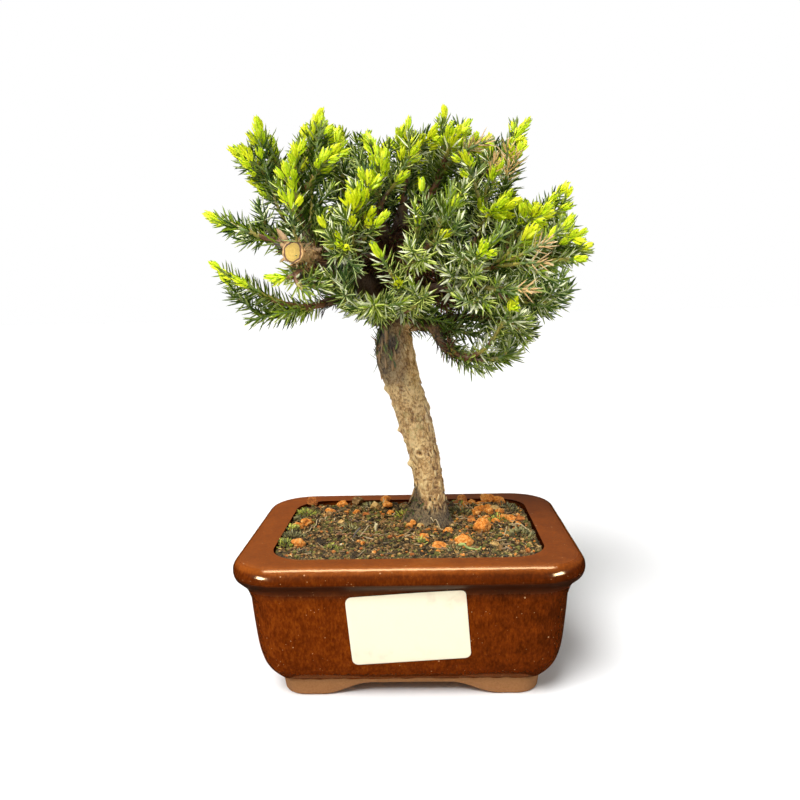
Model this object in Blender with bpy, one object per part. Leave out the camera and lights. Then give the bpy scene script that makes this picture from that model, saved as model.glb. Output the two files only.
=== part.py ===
"""A young juniper bonsai in a glazed rectangular pot.

Frame: +Z up, metres. The pot stands on Z = 0 with its middle at the origin, its long side
along X and its labelled front towards -Y. Lengths below are in millimetres and are turned
into metres where a mesh is made.
"""
import math

import bmesh
import bpy
import numpy as np
from mathutils import Matrix, Vector

MM = 0.001
GAP = 0.3                        # clearance between neighbouring pieces
BOUGH_GAP = 0.36                 # the same round a faceted bough that carries others
UP = Vector((0.0, 0.0, 1.0))

# Pot: outside sizes of the rim, then how far each level lies inside the rim's outline
POT_WIDTH = 150.0
POT_DEPTH = 123.4
POT_HEIGHT = 62.7
RIM_CORNER = 26.5                # corner radius of the rim's outline
RIM_ROLL = 4.9                   # radius of the rounded rim edge
FOOT_HEIGHT = 6.6                # unglazed feet below the body
FOOT_INSET = 19.3
FOOT_CORNER = 10.0
FOOT_WALL = 9.0
ARCH_HEIGHT = 5.6
FOOT_LENGTH = 17.0               # flat part of a foot, from its corner
ARCH_RUN = 22.0                  # length of the curve from a foot up to the arch
BODY_LEVELS = (                  # height, inset of the glazed wall below the rim
    (8.0, 18.4), (9.8, 16.2), (12.2, 13.6), (15.4, 11.4), (19.5, 9.8), (25.0, 8.8),
    (35.0, 7.8), (44.5, 6.9), (48.0, 6.1), (50.4, 4.8), (52.4, 2.5), (54.0, 0.8),
)
MOUTH_INSET = 16.5               # planting hole's edge, from the rim's outline
MOUTH_CORNER = 12.0
FLOOR = 11.0                     # height of the pot's inside floor
INSIDE_LEVELS = (                # height, inset and corner radius of the inside wall
    (POT_HEIGHT - 1.8, MOUTH_INSET, MOUTH_CORNER), (28.0, 16.6, 11.0), (15.0, 18.4, 9.5),
    (12.0, 20.4, 8.0), (FLOOR, 23.0, 6.0),
)
DRAIN_RADIUS = 6.0

# Soil
SOIL_EDGE = 57.6                 # height of the soil at the pot's wall
SOIL_TOP = 60.6                  # height of the soil round the trunk
SOIL_LUMP = 0.5
SOIL_GAP = 0.45                  # between the soil and the pot's faceted wall

# Label on the front wall
LABEL_WIDTH = 49.5
LABEL_HEIGHT = 30.0
LABEL_CORNER = 2.6
LABEL_THICKNESS = 0.35
LABEL_TURN = 3.9                 # degrees, right side up
LABEL_MIDDLE = (0.0, 34.9)       # X, Z

# Trunk: X of the centre, height and radius at stations from the soil to the leader's tip
TRUNK_Y = 10.0
TRUNK_STATIONS = (
    (11.6, 60.9, 8.6), (10.9, 68.0, 7.8), (10.0, 80.0, 7.1), (7.6, 95.0, 7.1),
    (4.4, 108.0, 7.9), (1.6, 120.0, 8.4), (-1.8, 131.0, 8.3), (-4.0, 146.0, 7.9),
    (-5.4, 160.0, 7.2), (-6.6, 172.0, 6.4), (-6.2, 184.0, 5.2), (-3.4, 197.0, 3.7),
    (0.8, 212.6, 2.2),
)
TRUNK_SIDES = 12
TRUNK_RINGS = 22
ROOTS = (                        # direction in degrees, how far it stands out, height
    (180.0, 7.0, 22.0), (250.0, 2.4, 9.0), (330.0, 2.2, 8.0), (75.0, 3.0, 10.0),
)
RIDGE = (200.0, 2.6, 141.0, 13.0)   # bark ridge: direction, depth, height, half length

# Boughs: name, what it grows from, middle points and tip, radius at root and tip
TRUNK = "trunk"
BOUGHS = (
    ("bough_left", TRUNK, ((-6, 10, 168), (-20, -6, 178), (-34, -23, 186), (-45, -35, 190)),
     5.4, 4.7),
    ("bough_left_up", "bough_left", ((-36, -25, 187), (-40, -22, 196)), 2.4, 2.0),
    ("bough_left_out", "bough_left", ((-29, -17, 184), (-36, -11, 194)), 2.5, 2.0),
    ("bough_left_side", "bough_left", ((-41, -30, 189), (-49.5, -26, 193)), 2.2, 1.9),
    ("bough_left_under", "bough_left", ((-36, -26, 188), (-42, -35, 181)), 2.1, 1.8),
    ("bough_left_low", TRUNK, ((-4, 10, 156), (-18, 9, 164), (-29, 1, 170), (-37, -6, 168)),
     3.0, 2.1),
    ("bough_front_left", TRUNK, ((-6, 10, 182), (-10, -6, 188), (-15, -15, 188.5)), 2.9, 2.1),
    ("bough_front", TRUNK, ((-6, 10, 177), (-2, -6, 180), (1, -16, 182)), 2.8, 2.1),
    ("bough_middle", TRUNK, ((-5, 10, 190), (-7, 3, 196), (-8.4, -2, 201)), 2.3, 2.0),
    ("bough_crown_left", TRUNK, ((-6, 10, 183), (-14, 13, 194), (-20, 15, 203)), 2.7, 2.0),
    ("bough_crown_right", TRUNK, ((-2, 10, 200), (5, 8, 206), (11, 6, 213)), 2.3, 2.0),
    ("bough_right_high", TRUNK, ((-5.5, 10, 187), (8, 9, 197), (22, 10, 209)), 3.2, 2.1),
    ("bough_right", TRUNK, ((-6, 10, 168), (14, 7, 174), (30, 4, 178.5), (42, 3, 181)), 4.6, 2.2),
    ("bough_right_mid", "bough_right", ((17, 6, 175), (23, 3, 182), (29, 1, 188)), 2.4, 2.0),
    ("bough_right_crest", "bough_right", ((30, 4, 178.5), (37, 0, 185), (43, -3, 189)), 2.2, 2.0),
    ("bough_right_front", "bough_right", ((9, 8, 173), (15, -6, 174), (20, -15, 174)), 2.7, 2.1),
    ("bough_right_down", "bough_right", ((27, 4, 178), (36, -3, 173), (42, -6, 170)), 2.2, 2.0),
    ("bough_right_low", TRUNK, ((-4, 10, 158), (7, 4, 157.6), (15.6, -1, 156.6)), 3.4, 2.5),
    ("bough_hanging", "bough_right_low", ((14, -1.5, 157), (16.5, -7, 149), (24, -13, 144)),
     2.2, 1.9),
    ("bough_right_under", "bough_right_low", ((10, 2.5, 157.4), (20, 3, 160), (28, 1, 160.5)),
     2.1, 1.9),
    ("bough_back_left", TRUNK, ((-6, 10, 172), (-15, 20, 178), (-22, 27, 183)), 3.4, 2.2),
    ("bough_back", TRUNK, ((-6.4, 10, 181), (-8, 20, 189), (-10, 27, 198)), 2.7, 2.1),
    ("bough_back_right", TRUNK, ((-6, 10, 175), (8, 21, 182), (18, 27, 188)), 3.3, 2.1),
    ("bough_back_high", TRUNK, ((-3, 10, 196), (2, 16, 203), (6, 21, 210)), 2.3, 2.0),
    ("bough_back_rise", "bough_back_right", ((9, 22, 182), (14, 25, 192), (20, 28, 200)),
     2.2, 2.0),
    ("bough_back_low", "bough_right", ((19, 5, 175), (26, 13, 171), (32, 20, 168)), 2.3, 2.0),
)
BOUGH_SIDES = 7

# Foliage masses: name, what the stem grows from, then the tips of its leading shoots.
# A stem that grows straight from the trunk gives its height and direction in degrees.
MASSES = (
    ("foliage_left_tuft", "bough_left_out", ((-60, -20, 247), (-71, -17, 236))),
    ("foliage_left_spire", "bough_left_up", ((-32.5, -14, 251), (-44.6, -32, 220),
                                             (-24, -25, 234))),
    ("foliage_left_reach", "bough_left_side", ((-85.5, -16, 208.5), (-67, -32, 200))),
    ("foliage_left_small", "bough_left_under", ((-55.5, -41, 180), (-36, -46, 172))),
    ("foliage_left_low", "bough_left_low", ((-85, -14, 188), (-62, -8, 163))),
    ("foliage_front_left", "bough_front_left", ((-18.5, -46, 203), (-30, -42, 192),
                                                (-10, -36, 207))),
    ("foliage_front_mid", "bough_front", ((26, -38, 212), (8, -36, 207), (20, -42, 196))),
    ("foliage_front_low", (163.0, 288.0), ((11, -42, 172), (-2, -42, 178))),
    ("foliage_front_low_left", (163.0, 243.0), ((-24, -37, 174), (-9, -37, 167))),
    ("foliage_middle", "bough_middle", ((-12, -18, 228), (-6, -6, 236), (4, -24, 222))),
    ("foliage_crown_left", "bough_crown_left", ((-27.5, 10, 249), (-15, 22, 249),
                                                (-36, 24, 238))),
    ("foliage_crown_top", TRUNK, ((4, 15, 253), (10, -8, 240))),
    ("foliage_crown_peak", "bough_crown_right", ((19.6, 2, 254.6), (32, 10, 250),
                                                 (24, -16, 238))),
    ("foliage_top_right", "bough_right_high", ((59, 8, 249), (42, 24, 246), (50, -4, 238))),
    ("foliage_right_inner", "bough_right_mid", ((47, -2, 216), (34, -16, 212))),
    ("foliage_right_crest", "bough_right_crest", ((60, -14, 209), (75, 2, 219.5),
                                                  (62, 10, 212))),
    ("foliage_right_reach", "bough_right", ((86.5, 2, 192), (78, 16, 203), (81, -12, 185))),
    ("foliage_right_front", "bough_right_front", ((33, -50, 191), (46, -47, 170),
                                                  (50, -34, 186))),
    ("foliage_right_low", "bough_right_down", ((74, -10, 167.4), (68, 2, 160))),
    ("foliage_low_right", "bough_right_under", ((60, -8, 151), (52, 6, 148))),
    ("foliage_hanging", "bough_hanging", ((49, -22, 145.6), (38, -30, 152))),
    ("foliage_back_left", "bough_back_left", ((-56, 42, 206), (-48, 46, 182),
                                              (-62, 22, 194))),
    ("foliage_back_crown", "bough_back", ((-26, 50, 236), (-6, 54, 224))),
    ("foliage_back_right", "bough_back_right", ((62, 44, 196), (44, 54, 184), (60, 34, 208))),
    ("foliage_back_top", "bough_back_high", ((14, 40, 245), (2, 48, 236))),
    ("foliage_back_rise", "bough_back_rise", ((48, 42, 226), (34, 52, 214))),
    ("foliage_back_under", "bough_back_low", ((62, 36, 163), (50, 46, 158))),
    ("foliage_back_low", (160.0, 95.0), ((-14, 52, 174), (12, 48, 168))),
)

# Shoots and needles
STEM_RADIUS = 2.0
SHOOT_RADIUS = 2.0
TIP_RADIUS = 1.2
WHORL_STEP = 6.6                 # distance between whorls of three needles
NEEDLE = 10.5
NEEDLE_APART = 2.0               # least distance between needles of different shoots
LEAN_FOOT = 54.0                 # degrees between needle and shoot, at the shoot's foot
LEAN_TIP = 24.0
GOLDEN_TURN = math.radians(137.5)
SIDE_STEP = 21.0                 # distance between side shoots along a leading shoot
SIDE_ANGLE = 46.0                # degrees from the leading shoot
SIDE_RISE = 0.45                 # how strongly a side shoot turns up to the light
SIDE_LENGTHS = (21.0, 11.0)      # near the foot and near the tip of the leading shoot
SIDE_SHORTEST = 8.0
OWN_SPACE = 0.45                 # least lead of a mass over its neighbours at any point

# Linear colours, roughness
BARK = ((0.30, 0.19, 0.10), 0.9)
TWIG_GREEN = ((0.055, 0.12, 0.035), 0.6)
GLAZE = ((0.165, 0.033, 0.010), 0.15)
EARTH = ((0.06, 0.036, 0.018), 0.95)
PAPER = ((0.82, 0.79, 0.72), 0.5)


def clear_scene():
    """An empty scene: no objects and no leftover meshes."""
    for obj in list(bpy.data.objects):
        bpy.data.objects.remove(obj, do_unlink=True)
    for mesh in list(bpy.data.meshes):
        bpy.data.meshes.remove(mesh)


def new_collection(name):
    """A collection of the scene, by name."""
    collection = bpy.data.collections.new(name)
    bpy.context.scene.collection.children.link(collection)
    return collection


def new_material(name, look):
    """A Principled material of one colour and roughness."""
    colour, roughness = look
    material = bpy.data.materials.new(name)
    material.use_nodes = True
    shader = material.node_tree.nodes["Principled BSDF"]
    shader.inputs["Base Color"].default_value = (*colour, 1.0)
    shader.inputs["Roughness"].default_value = roughness
    shader.inputs["Metallic"].default_value = 0.0
    return material


def new_object(name, bm, collection, material=None):
    """The bmesh as an object with outward faces, the bmesh being used up."""
    bmesh.ops.recalc_face_normals(bm, faces=bm.faces)
    mesh = bpy.data.meshes.new(name)
    bm.to_mesh(mesh)
    bm.free()
    obj = bpy.data.objects.new(name, mesh)
    collection.objects.link(obj)
    if material:
        mesh.materials.append(material)
    return obj


def new_cutter(name, bm, collection):
    """A cutting body, drawn as wire and never rendered."""
    cutter = new_object(name, bm, collection)
    cutter.hide_render = True
    cutter.display_type = "WIRE"
    return cutter


def cut(obj, cutter):
    """Take the cutter away from the object."""
    boolean = obj.modifiers.new("cut_" + cutter.name, "BOOLEAN")
    boolean.operation = "DIFFERENCE"
    boolean.object = cutter
    boolean.solver = "EXACT"


def apply_modifiers(obj):
    """Replace the object's mesh with what its modifiers make of it."""
    evaluated = obj.evaluated_get(bpy.context.evaluated_depsgraph_get())
    mesh = bpy.data.meshes.new_from_object(evaluated)
    obj.modifiers.clear()
    old = obj.data
    obj.data = mesh
    bpy.data.meshes.remove(old)


def loft(rings):
    """A closed bmesh through rings of equal point count, with flat ends."""
    bm = bmesh.new()
    loops = [[bm.verts.new(p) for p in ring] for ring in rings]
    count = len(loops[0])
    for lower, upper in zip(loops, loops[1:]):
        for i in range(count):
            j = (i + 1) % count
            bm.faces.new((lower[i], lower[j], upper[j], upper[i]))
    bm.faces.new(reversed(loops[0]))
    bm.faces.new(loops[-1])
    return bm


def rounded_rectangle(half_x, half_y, corner, height, steps=5):
    """A horizontal ring: four arcs of the corner radius, joined by straight sides."""
    ring = []
    for quarter in range(4):
        sx = 1 if quarter in (0, 3) else -1
        sy = 1 if quarter in (0, 1) else -1
        for step in range(steps + 1):
            turn = math.radians(90 * (quarter + step / steps))
            ring.append(Vector((
                sx * (half_x - corner) + corner * math.cos(turn),
                sy * (half_y - corner) + corner * math.sin(turn),
                height)) * MM)
    return ring


def pot_level(height, inset, corner):
    """The pot's outline at a height, inset from the rim's outline."""
    return rounded_rectangle(POT_WIDTH / 2 - inset, POT_DEPTH / 2 - inset, corner, height)


def rim_levels():
    """Heights and insets of the rolled rim, from under its edge to the flat top."""
    middle = POT_HEIGHT - RIM_ROLL
    levels = []
    for turn in (-22, 8, 36, 64, 90):
        angle = math.radians(turn)
        levels.append((middle + RIM_ROLL * math.sin(angle), RIM_ROLL * (1 - math.cos(angle))))
    return levels


def wall_inset(height):
    """How far the glazed wall lies inside the rim's outline at a height."""
    heights, insets = zip(*BODY_LEVELS)
    return float(np.interp(height, heights, insets))


def prism(outline, half_length, axes):
    """A bmesh prism of a flat outline: axes are the outline's two directions and the third."""
    across, up, along = (Vector(a) for a in axes)
    rings = []
    for end in (-half_length, half_length):
        rings.append([(across * u + up * v + along * end) * MM for u, v in outline])
    return loft(rings)


def arch_outline(half_foot_span):
    """The gap between two feet, seen along the wall: flat feet, then an eased curve up."""
    foot_end = half_foot_span - FOOT_LENGTH
    run = min(ARCH_RUN, foot_end)
    side = []
    for step in range(7):
        t = step / 6
        side.append((foot_end - run * t, ARCH_HEIGHT * (1 - math.cos(math.pi * t)) / 2))
    left = [(-u, v) for u, v in reversed(side) if u > 0.01]
    return side + left + [(-foot_end, -2.0), (foot_end, -2.0)]


def make_pot(collection, cutters, material):
    """The pot: body and rim in one loft, hollowed, its foot ring cut into four feet."""
    levels = [(0.0, FOOT_INSET + 0.9, FOOT_CORNER - 0.9), (0.8, FOOT_INSET, FOOT_CORNER),
              (FOOT_HEIGHT, FOOT_INSET - 0.8, FOOT_CORNER + 0.8)]
    levels += [(z, inset, RIM_CORNER - inset + 1.0) for z, inset in BODY_LEVELS]
    levels += [(z, inset, RIM_CORNER - inset) for z, inset in rim_levels()]
    levels += [
        (POT_HEIGHT, MOUTH_INSET - 1.6, MOUTH_CORNER + 1.6),
        (POT_HEIGHT - 0.5, MOUTH_INSET - 0.5, MOUTH_CORNER + 0.5),
    ]
    levels += INSIDE_LEVELS
    pot = new_object("pot", loft([pot_level(*level) for level in levels]), collection, material)

    recess_inset = FOOT_INSET + FOOT_WALL
    recess = [pot_level(z, recess_inset, FOOT_CORNER / 2) for z in (-2.0, ARCH_HEIGHT + 0.7)]
    cut(pot, new_cutter("recess", loft(recess), cutters))
    front = arch_outline(POT_WIDTH / 2 - FOOT_INSET)
    side = arch_outline(POT_DEPTH / 2 - FOOT_INSET)
    axes = ((1, 0, 0), (0, 0, 1), (0, 1, 0))
    cut(pot, new_cutter("front_arch", prism(front, POT_DEPTH, axes), cutters))
    axes = ((0, 1, 0), (0, 0, 1), (1, 0, 0))
    cut(pot, new_cutter("side_arch", prism(side, POT_WIDTH, axes), cutters))
    drain = bmesh.new()
    bmesh.ops.create_cone(drain, cap_ends=True, segments=16, radius1=DRAIN_RADIUS * MM,
                          radius2=DRAIN_RADIUS * MM, depth=4 * FLOOR * MM)
    cut(pot, new_cutter("drain", drain, cutters))
    pot.data.shade_smooth()
    pot.data.set_sharp_from_angle(angle=math.radians(35))
    return pot


def soil_height(x, y):
    """The soil rises gently to the trunk, with low lumps, and is level under the trunk."""
    trunk_x = TRUNK_STATIONS[0][0]
    away = math.hypot(x - trunk_x, y - TRUNK_Y)
    if away < 20.0:
        return SOIL_TOP
    slope = SOIL_TOP + (SOIL_EDGE - SOIL_TOP) * min(1.0, (away - 20.0) / 32.0)
    return slope + SOIL_LUMP * (math.sin(0.31 * x + 1.0) + math.cos(0.37 * y - 0.5)) / 2


def make_soil(collection, material):
    """The soil that fills the pot, as rings that shrink from the pot's wall to the trunk."""
    levels = [(z, inset + SOIL_GAP, corner - SOIL_GAP) for z, inset, corner in INSIDE_LEVELS[:0:-1]]
    levels[0] = (FLOOR + GAP, *levels[0][1:])
    levels.append((SOIL_EDGE, MOUTH_INSET + SOIL_GAP, MOUTH_CORNER - SOIL_GAP))
    rings = [rounded_rectangle(POT_WIDTH / 2 - inset, POT_DEPTH / 2 - inset, corner, z, 3)
             for z, inset, corner in levels]
    middle = Vector((TRUNK_STATIONS[0][0], TRUNK_Y, 0)) * MM
    edge = [p.copy() for p in rings[-1]]
    for share in (0.22, 0.42, 0.6, 0.76):
        ring = []
        for p in edge:
            q = p.lerp(middle, share)
            ring.append(Vector((q.x, q.y, soil_height(q.x / MM, q.y / MM) * MM)))
        rings.append(ring)
    return new_object("soil", loft(rings), collection, material)


def make_label(collection, cutters, material):
    """The blank label: a thin band that follows the front wall, cut to a rounded outline."""
    heights = [LABEL_MIDDLE[1] + s * 2.6 for s in range(-9, 9)]
    near = [(-POT_DEPTH / 2 + wall_inset(z) - GAP, z) for z in heights]
    far = [(y - LABEL_THICKNESS, z) for y, z in reversed(near)]
    band = prism(near + far, LABEL_WIDTH, ((0, 1, 0), (0, 0, 1), (1, 0, 0)))
    label = new_object("label", band, collection, material)

    plain = rounded_rectangle(LABEL_WIDTH / 2, LABEL_HEIGHT / 2, LABEL_CORNER, 0.0, 4)
    turn = Matrix.Rotation(math.radians(-LABEL_TURN), 3, "Y")
    middle_x, middle_z = LABEL_MIDDLE
    rings = []
    for y in (-POT_DEPTH, 0.0):
        ring = [turn @ Vector((p.x, 0.0, p.y)) for p in plain]
        rings.append([p + Vector((middle_x, y, middle_z)) * MM for p in ring])
    boolean = label.modifiers.new("outline", "BOOLEAN")
    boolean.operation = "INTERSECT"
    boolean.object = new_cutter("label_outline", loft(rings), cutters)
    boolean.solver = "EXACT"
    return label


def smooth_path(points, steps=4):
    """Points of a Catmull-Rom curve through the given ones."""
    knots = [Vector(p) for p in points]
    if len(knots) == 2:
        return [knots[0].lerp(knots[1], i / 2) for i in range(3)]
    ends = [2 * knots[0] - knots[1]] + knots + [2 * knots[-1] - knots[-2]]
    path = []
    for a, b, c, d in zip(ends, ends[1:], ends[2:], ends[3:]):
        for step in range(steps):
            t = step / steps
            path.append(0.5 * (2 * b + (c - a) * t + (2 * a - 5 * b + 4 * c - d) * t * t
                               + (3 * b - a - 3 * c + d) * t ** 3))
    return path + [knots[-1]]


def path_frames(path):
    """A unit direction and two unit normals at each point, carried on without twist."""
    frames = []
    side = None
    for i, point in enumerate(path):
        ahead = (path[min(i + 1, len(path) - 1)] - path[max(i - 1, 0)]).normalized()
        if side is None:
            side = ahead.orthogonal().normalized()
        side = (side - ahead * side.dot(ahead)).normalized()
        frames.append((point, ahead, side, ahead.cross(side)))
    return frames


def tube(path, foot_radius, tip_radius, sides):
    """A closed tapering tube along a path."""
    rings = []
    frames = path_frames(path)
    for i, (point, _, side, other) in enumerate(frames):
        radius = foot_radius + (tip_radius - foot_radius) * i / (len(frames) - 1)
        rings.append([(point + (side * math.cos(a) + other * math.sin(a)) * radius) * MM
                      for a in (2 * math.pi * s / sides for s in range(sides))])
    return loft(rings)


def trunk_centre(height):
    """The trunk's centre at a height."""
    xs, heights, _ = zip(*TRUNK_STATIONS)
    return Vector((float(np.interp(height, heights, xs)), TRUNK_Y, height))


def trunk_radius(height):
    """The trunk's plain radius at a height, without roots and ridge."""
    _, heights, radii = zip(*TRUNK_STATIONS)
    return float(np.interp(height, heights, radii))


def trunk_relief(height, turn):
    """How far the roots and the bark ridge stand out at a height and direction."""
    relief = 0.0
    for direction, depth, top in ROOTS:
        fade = max(0.0, 1 - (height - TRUNK_STATIONS[0][1]) / top)
        facing = max(0.0, math.cos(turn - math.radians(direction)))
        relief += depth * fade ** 2 * facing ** 3
    direction, depth, middle, half = RIDGE
    fade = max(0.0, 1 - ((height - middle) / half) ** 2)
    return relief + depth * fade * max(0.0, math.cos(turn - math.radians(direction))) ** 3


def trunk_body(extra=0.0):
    """The trunk from its flat cut to the leader's tip, swollen by an extra thickness."""
    foot, tip = TRUNK_STATIONS[0][1], TRUNK_STATIONS[-1][1]
    rings = []
    for i in range(TRUNK_RINGS + 1):
        height = foot + (tip - foot) * (i / TRUNK_RINGS) ** 1.15
        centre = trunk_centre(height)
        ring = []
        for s in range(TRUNK_SIDES):
            turn = 2 * math.pi * s / TRUNK_SIDES
            reach = trunk_radius(height) + trunk_relief(height, turn) + extra
            ring.append((centre + Vector((math.cos(turn), math.sin(turn), 0)) * reach) * MM)
        rings.append(ring)
    return loft(rings)


def make_limbs(collection, cutters, material):
    """The trunk and its boughs, each bough cut clear of the limb that it grows from."""
    trunk = new_object(TRUNK, trunk_body(), collection, material)
    clearances = {TRUNK: new_cutter("trunk_clearance", trunk_body(GAP), cutters)}
    parents = {parent for _, parent, *_ in BOUGHS}
    limbs = [trunk]
    for name, parent, points, foot, tip in BOUGHS:
        path = smooth_path(points, 3)
        limb = new_object(name, tube(path, foot, tip, BOUGH_SIDES), collection, material)
        cut(limb, clearances[parent])
        limbs.append(limb)
        if name in parents:
            swollen = tube(path, foot + BOUGH_GAP, tip + BOUGH_GAP, BOUGH_SIDES)
            clearances[name] = new_cutter(name + "_clearance", swollen, cutters)
    for limb in limbs:
        limb.data.shade_smooth()
        limb.data.set_sharp_from_angle(angle=math.radians(50))


def bough_paths():
    """The path and end radii of every bough, by name."""
    return {name: (smooth_path(points, 3), foot, tip) for name, _, points, foot, tip in BOUGHS}


def stem_start(carrier):
    """Where a mass's stem starts and its first direction, clear of what carries it."""
    if carrier == TRUNK:
        x, height, _ = TRUNK_STATIONS[-1]
        return Vector((x, TRUNK_Y, height + GAP)), UP.copy()
    if isinstance(carrier, tuple):
        height, degrees = carrier
        turn = math.radians(degrees)
        out = Vector((math.cos(turn), math.sin(turn), 0))
        reach = trunk_radius(height) + trunk_relief(height, turn) + 2 * GAP
        return trunk_centre(height) + out * reach, out
    path = bough_paths()[carrier][0]
    ahead = (path[-1] - path[-2]).normalized()
    return path[-1] + ahead * 2 * GAP, ahead


def bent_path(start, ahead, end, steps):
    """A path that leaves the start in a direction and bends over to the end."""
    pull = (end - start).length * 0.42
    handle = start + ahead * pull
    path = []
    for i in range(steps + 1):
        t = i / steps
        path.append(start * (1 - t) ** 2 + handle * (2 * t * (1 - t)) + end * t * t)
    return path


def path_length(path):
    """The length of a path."""
    return sum((b - a).length for a, b in zip(path, path[1:]))


def even_path(path, step):
    """The path again, with points about a step apart."""
    total = path_length(path)
    count = max(2, round(total / step))
    marks = [0.0]
    for a, b in zip(path, path[1:]):
        marks.append(marks[-1] + (b - a).length)
    wanted = np.linspace(0.0, total, count + 1)
    columns = [np.interp(wanted, marks, [p[k] for p in path]) for k in range(3)]
    return [Vector(p) for p in zip(*columns)]


def leading_paths(mass):
    """The paths of a mass's leading shoots: the first is its stem, the others fork from it."""
    _, carrier, tips = mass
    start, ahead = stem_start(carrier)
    stem = bent_path(start, ahead, Vector(tips[0]), 12)
    paths = [stem]
    for number, tip in enumerate(tips[1:]):
        fork = 2 + 2 * number
        direction = (stem[fork + 1] - stem[fork]).normalized()
        direction += (Vector(tip) - stem[fork]).normalized()
        paths.append(bent_path(stem[fork], direction.normalized(), Vector(tip), 12))
    return paths


def side_paths(paths):
    """Side shoots set round each leading shoot at the golden turn, rising to the light."""
    found = []
    for order, path in enumerate(paths):
        frames = path_frames(even_path(path, 2.0))
        total = path_length(path)
        count = max(1, round((total - 8.0) / SIDE_STEP))
        for number in range(count):
            share = (number + 0.7) / (count + 0.6)
            point, ahead, side, other = frames[round(share * (len(frames) - 1))]
            turn = GOLDEN_TURN * (number + 1) + 1.9 * order
            out = side * math.cos(turn) + other * math.sin(turn)
            lean = math.radians(SIDE_ANGLE)
            start = ahead * math.cos(lean) + out * math.sin(lean)
            length = SIDE_LENGTHS[0] + (SIDE_LENGTHS[1] - SIDE_LENGTHS[0]) * share
            end = point + (start + UP * SIDE_RISE).normalized() * length
            found.append(bent_path(point, start, end, 6))
    return found


def polyline_distance(points, path):
    """Distance of each point, an array, to a path."""
    nearest = np.full(len(points), 1e9)
    for a, b in zip(path, path[1:]):
        a, b = np.array(a), np.array(b)
        along = b - a
        share = np.clip((points - a) @ along / (along @ along), 0.0, 1.0)
        away = np.linalg.norm(points - a - share[:, None] * along, axis=1)
        nearest = np.minimum(nearest, away)
    return nearest


class Room:
    """The space of one mass: nearer to its own leading shoots than to any other mass's."""

    def __init__(self, name, axes, limbs):
        self.own = axes[name]
        self.others = [path for other, paths in axes.items() if other != name for path in paths]
        self.limbs = limbs
        self.needles = []

    def free(self, points, widths):
        """Whether all points, each with its half width, lie in the room and off the limbs."""
        points, widths = np.array([tuple(p) for p in points]), np.array(widths)
        own = np.min([polyline_distance(points, path) for path in self.own], axis=0)
        others = np.min([polyline_distance(points, path) for path in self.others], axis=0)
        if (others - own < OWN_SPACE + 2 * widths).any():
            return False
        for path, radius in self.limbs:
            if (polyline_distance(points, path) < radius + GAP + widths).any():
                return False
        return True

    def apart(self, points):
        """Whether a needle's points keep clear of the needles and shoots already placed."""
        if not self.needles:
            return True
        placed = np.array(self.needles)
        gaps = np.linalg.norm(placed[:, None] - np.array([tuple(p) for p in points]), axis=2)
        return gaps.min() > NEEDLE_APART


def needle_spans(start, end, half_width):
    """Points along a needle with its half width there."""
    shares = (0.15, 0.3, 0.45, 0.6, 0.75, 0.9, 1.0)
    return [start.lerp(end, s) for s in shares], [half_width * (1 - s) for s in shares]


def clear_stretch(path, radius, room):
    """The path up to where it would leave the mass's room."""
    kept = [path[0]]
    for point in path[1:]:
        if not room.free([point], [radius]):
            break
        kept.append(point)
    return kept


def shoot_body(path, foot_radius, bare, room):
    """A three-sided shoot in whorls: each whorl's three faces are drawn out into needles."""
    path = even_path(path, WHORL_STEP)
    frames = path_frames(path)
    last = len(frames) - 1
    bm = bmesh.new()
    rings = []
    grown = [tuple(p) for p in even_path(path, NEEDLE_APART)]
    for k, (point, _, side, other) in enumerate(frames[:-1]):
        radius = foot_radius + (TIP_RADIUS - foot_radius) * k / last
        turns = [math.radians(60 * k + 120 * i) for i in range(3)]
        rings.append([bm.verts.new((point + (side * math.cos(t) + other * math.sin(t)) * radius)
                                   * MM) for t in turns])
    tip = bm.verts.new(frames[-1][0] * MM)
    bm.faces.new(reversed(rings[0]))
    for i in range(3):
        bm.faces.new((rings[-1][i], rings[-1][(i + 1) % 3], tip))
    for k, (lower, upper) in enumerate(zip(rings, rings[1:])):
        point, ahead, side, other = frames[k]
        lean = math.radians(LEAN_FOOT + (LEAN_TIP - LEAN_FOOT) * (k / last) ** 1.6)
        for i in range(3):
            j = (i + 1) % 3
            face = bm.faces.new((lower[i], lower[j], upper[i]))
            bm.faces.new((lower[j], upper[j], upper[i]))
            turn = math.radians(60 * k + 120 * i + 60)
            out = side * math.cos(turn) + other * math.sin(turn)
            foot = face.calc_center_median() / MM
            end = foot + (ahead * math.cos(lean) + out * math.sin(lean)) * NEEDLE
            points, widths = needle_spans(foot, end, foot_radius * 0.8)
            if k >= bare and room.free(points, widths) and room.apart(points[2:]):
                raised = bmesh.ops.poke(bm, faces=[face])
                raised["verts"][0].co = end * MM
                grown += [tuple(p) for p in points]
    room.needles += grown
    return bm


def fuse(obj, parts):
    """One Boolean union of an object with every object of a collection, applied."""
    boolean = obj.modifiers.new("fuse", "BOOLEAN")
    boolean.operation = "UNION"
    boolean.operand_type = "COLLECTION"
    boolean.collection = parts
    boolean.solver = "EXACT"
    apply_modifiers(obj)
    for part in list(parts.objects):
        bpy.data.objects.remove(part, do_unlink=True)
    bpy.data.collections.remove(parts)


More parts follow.
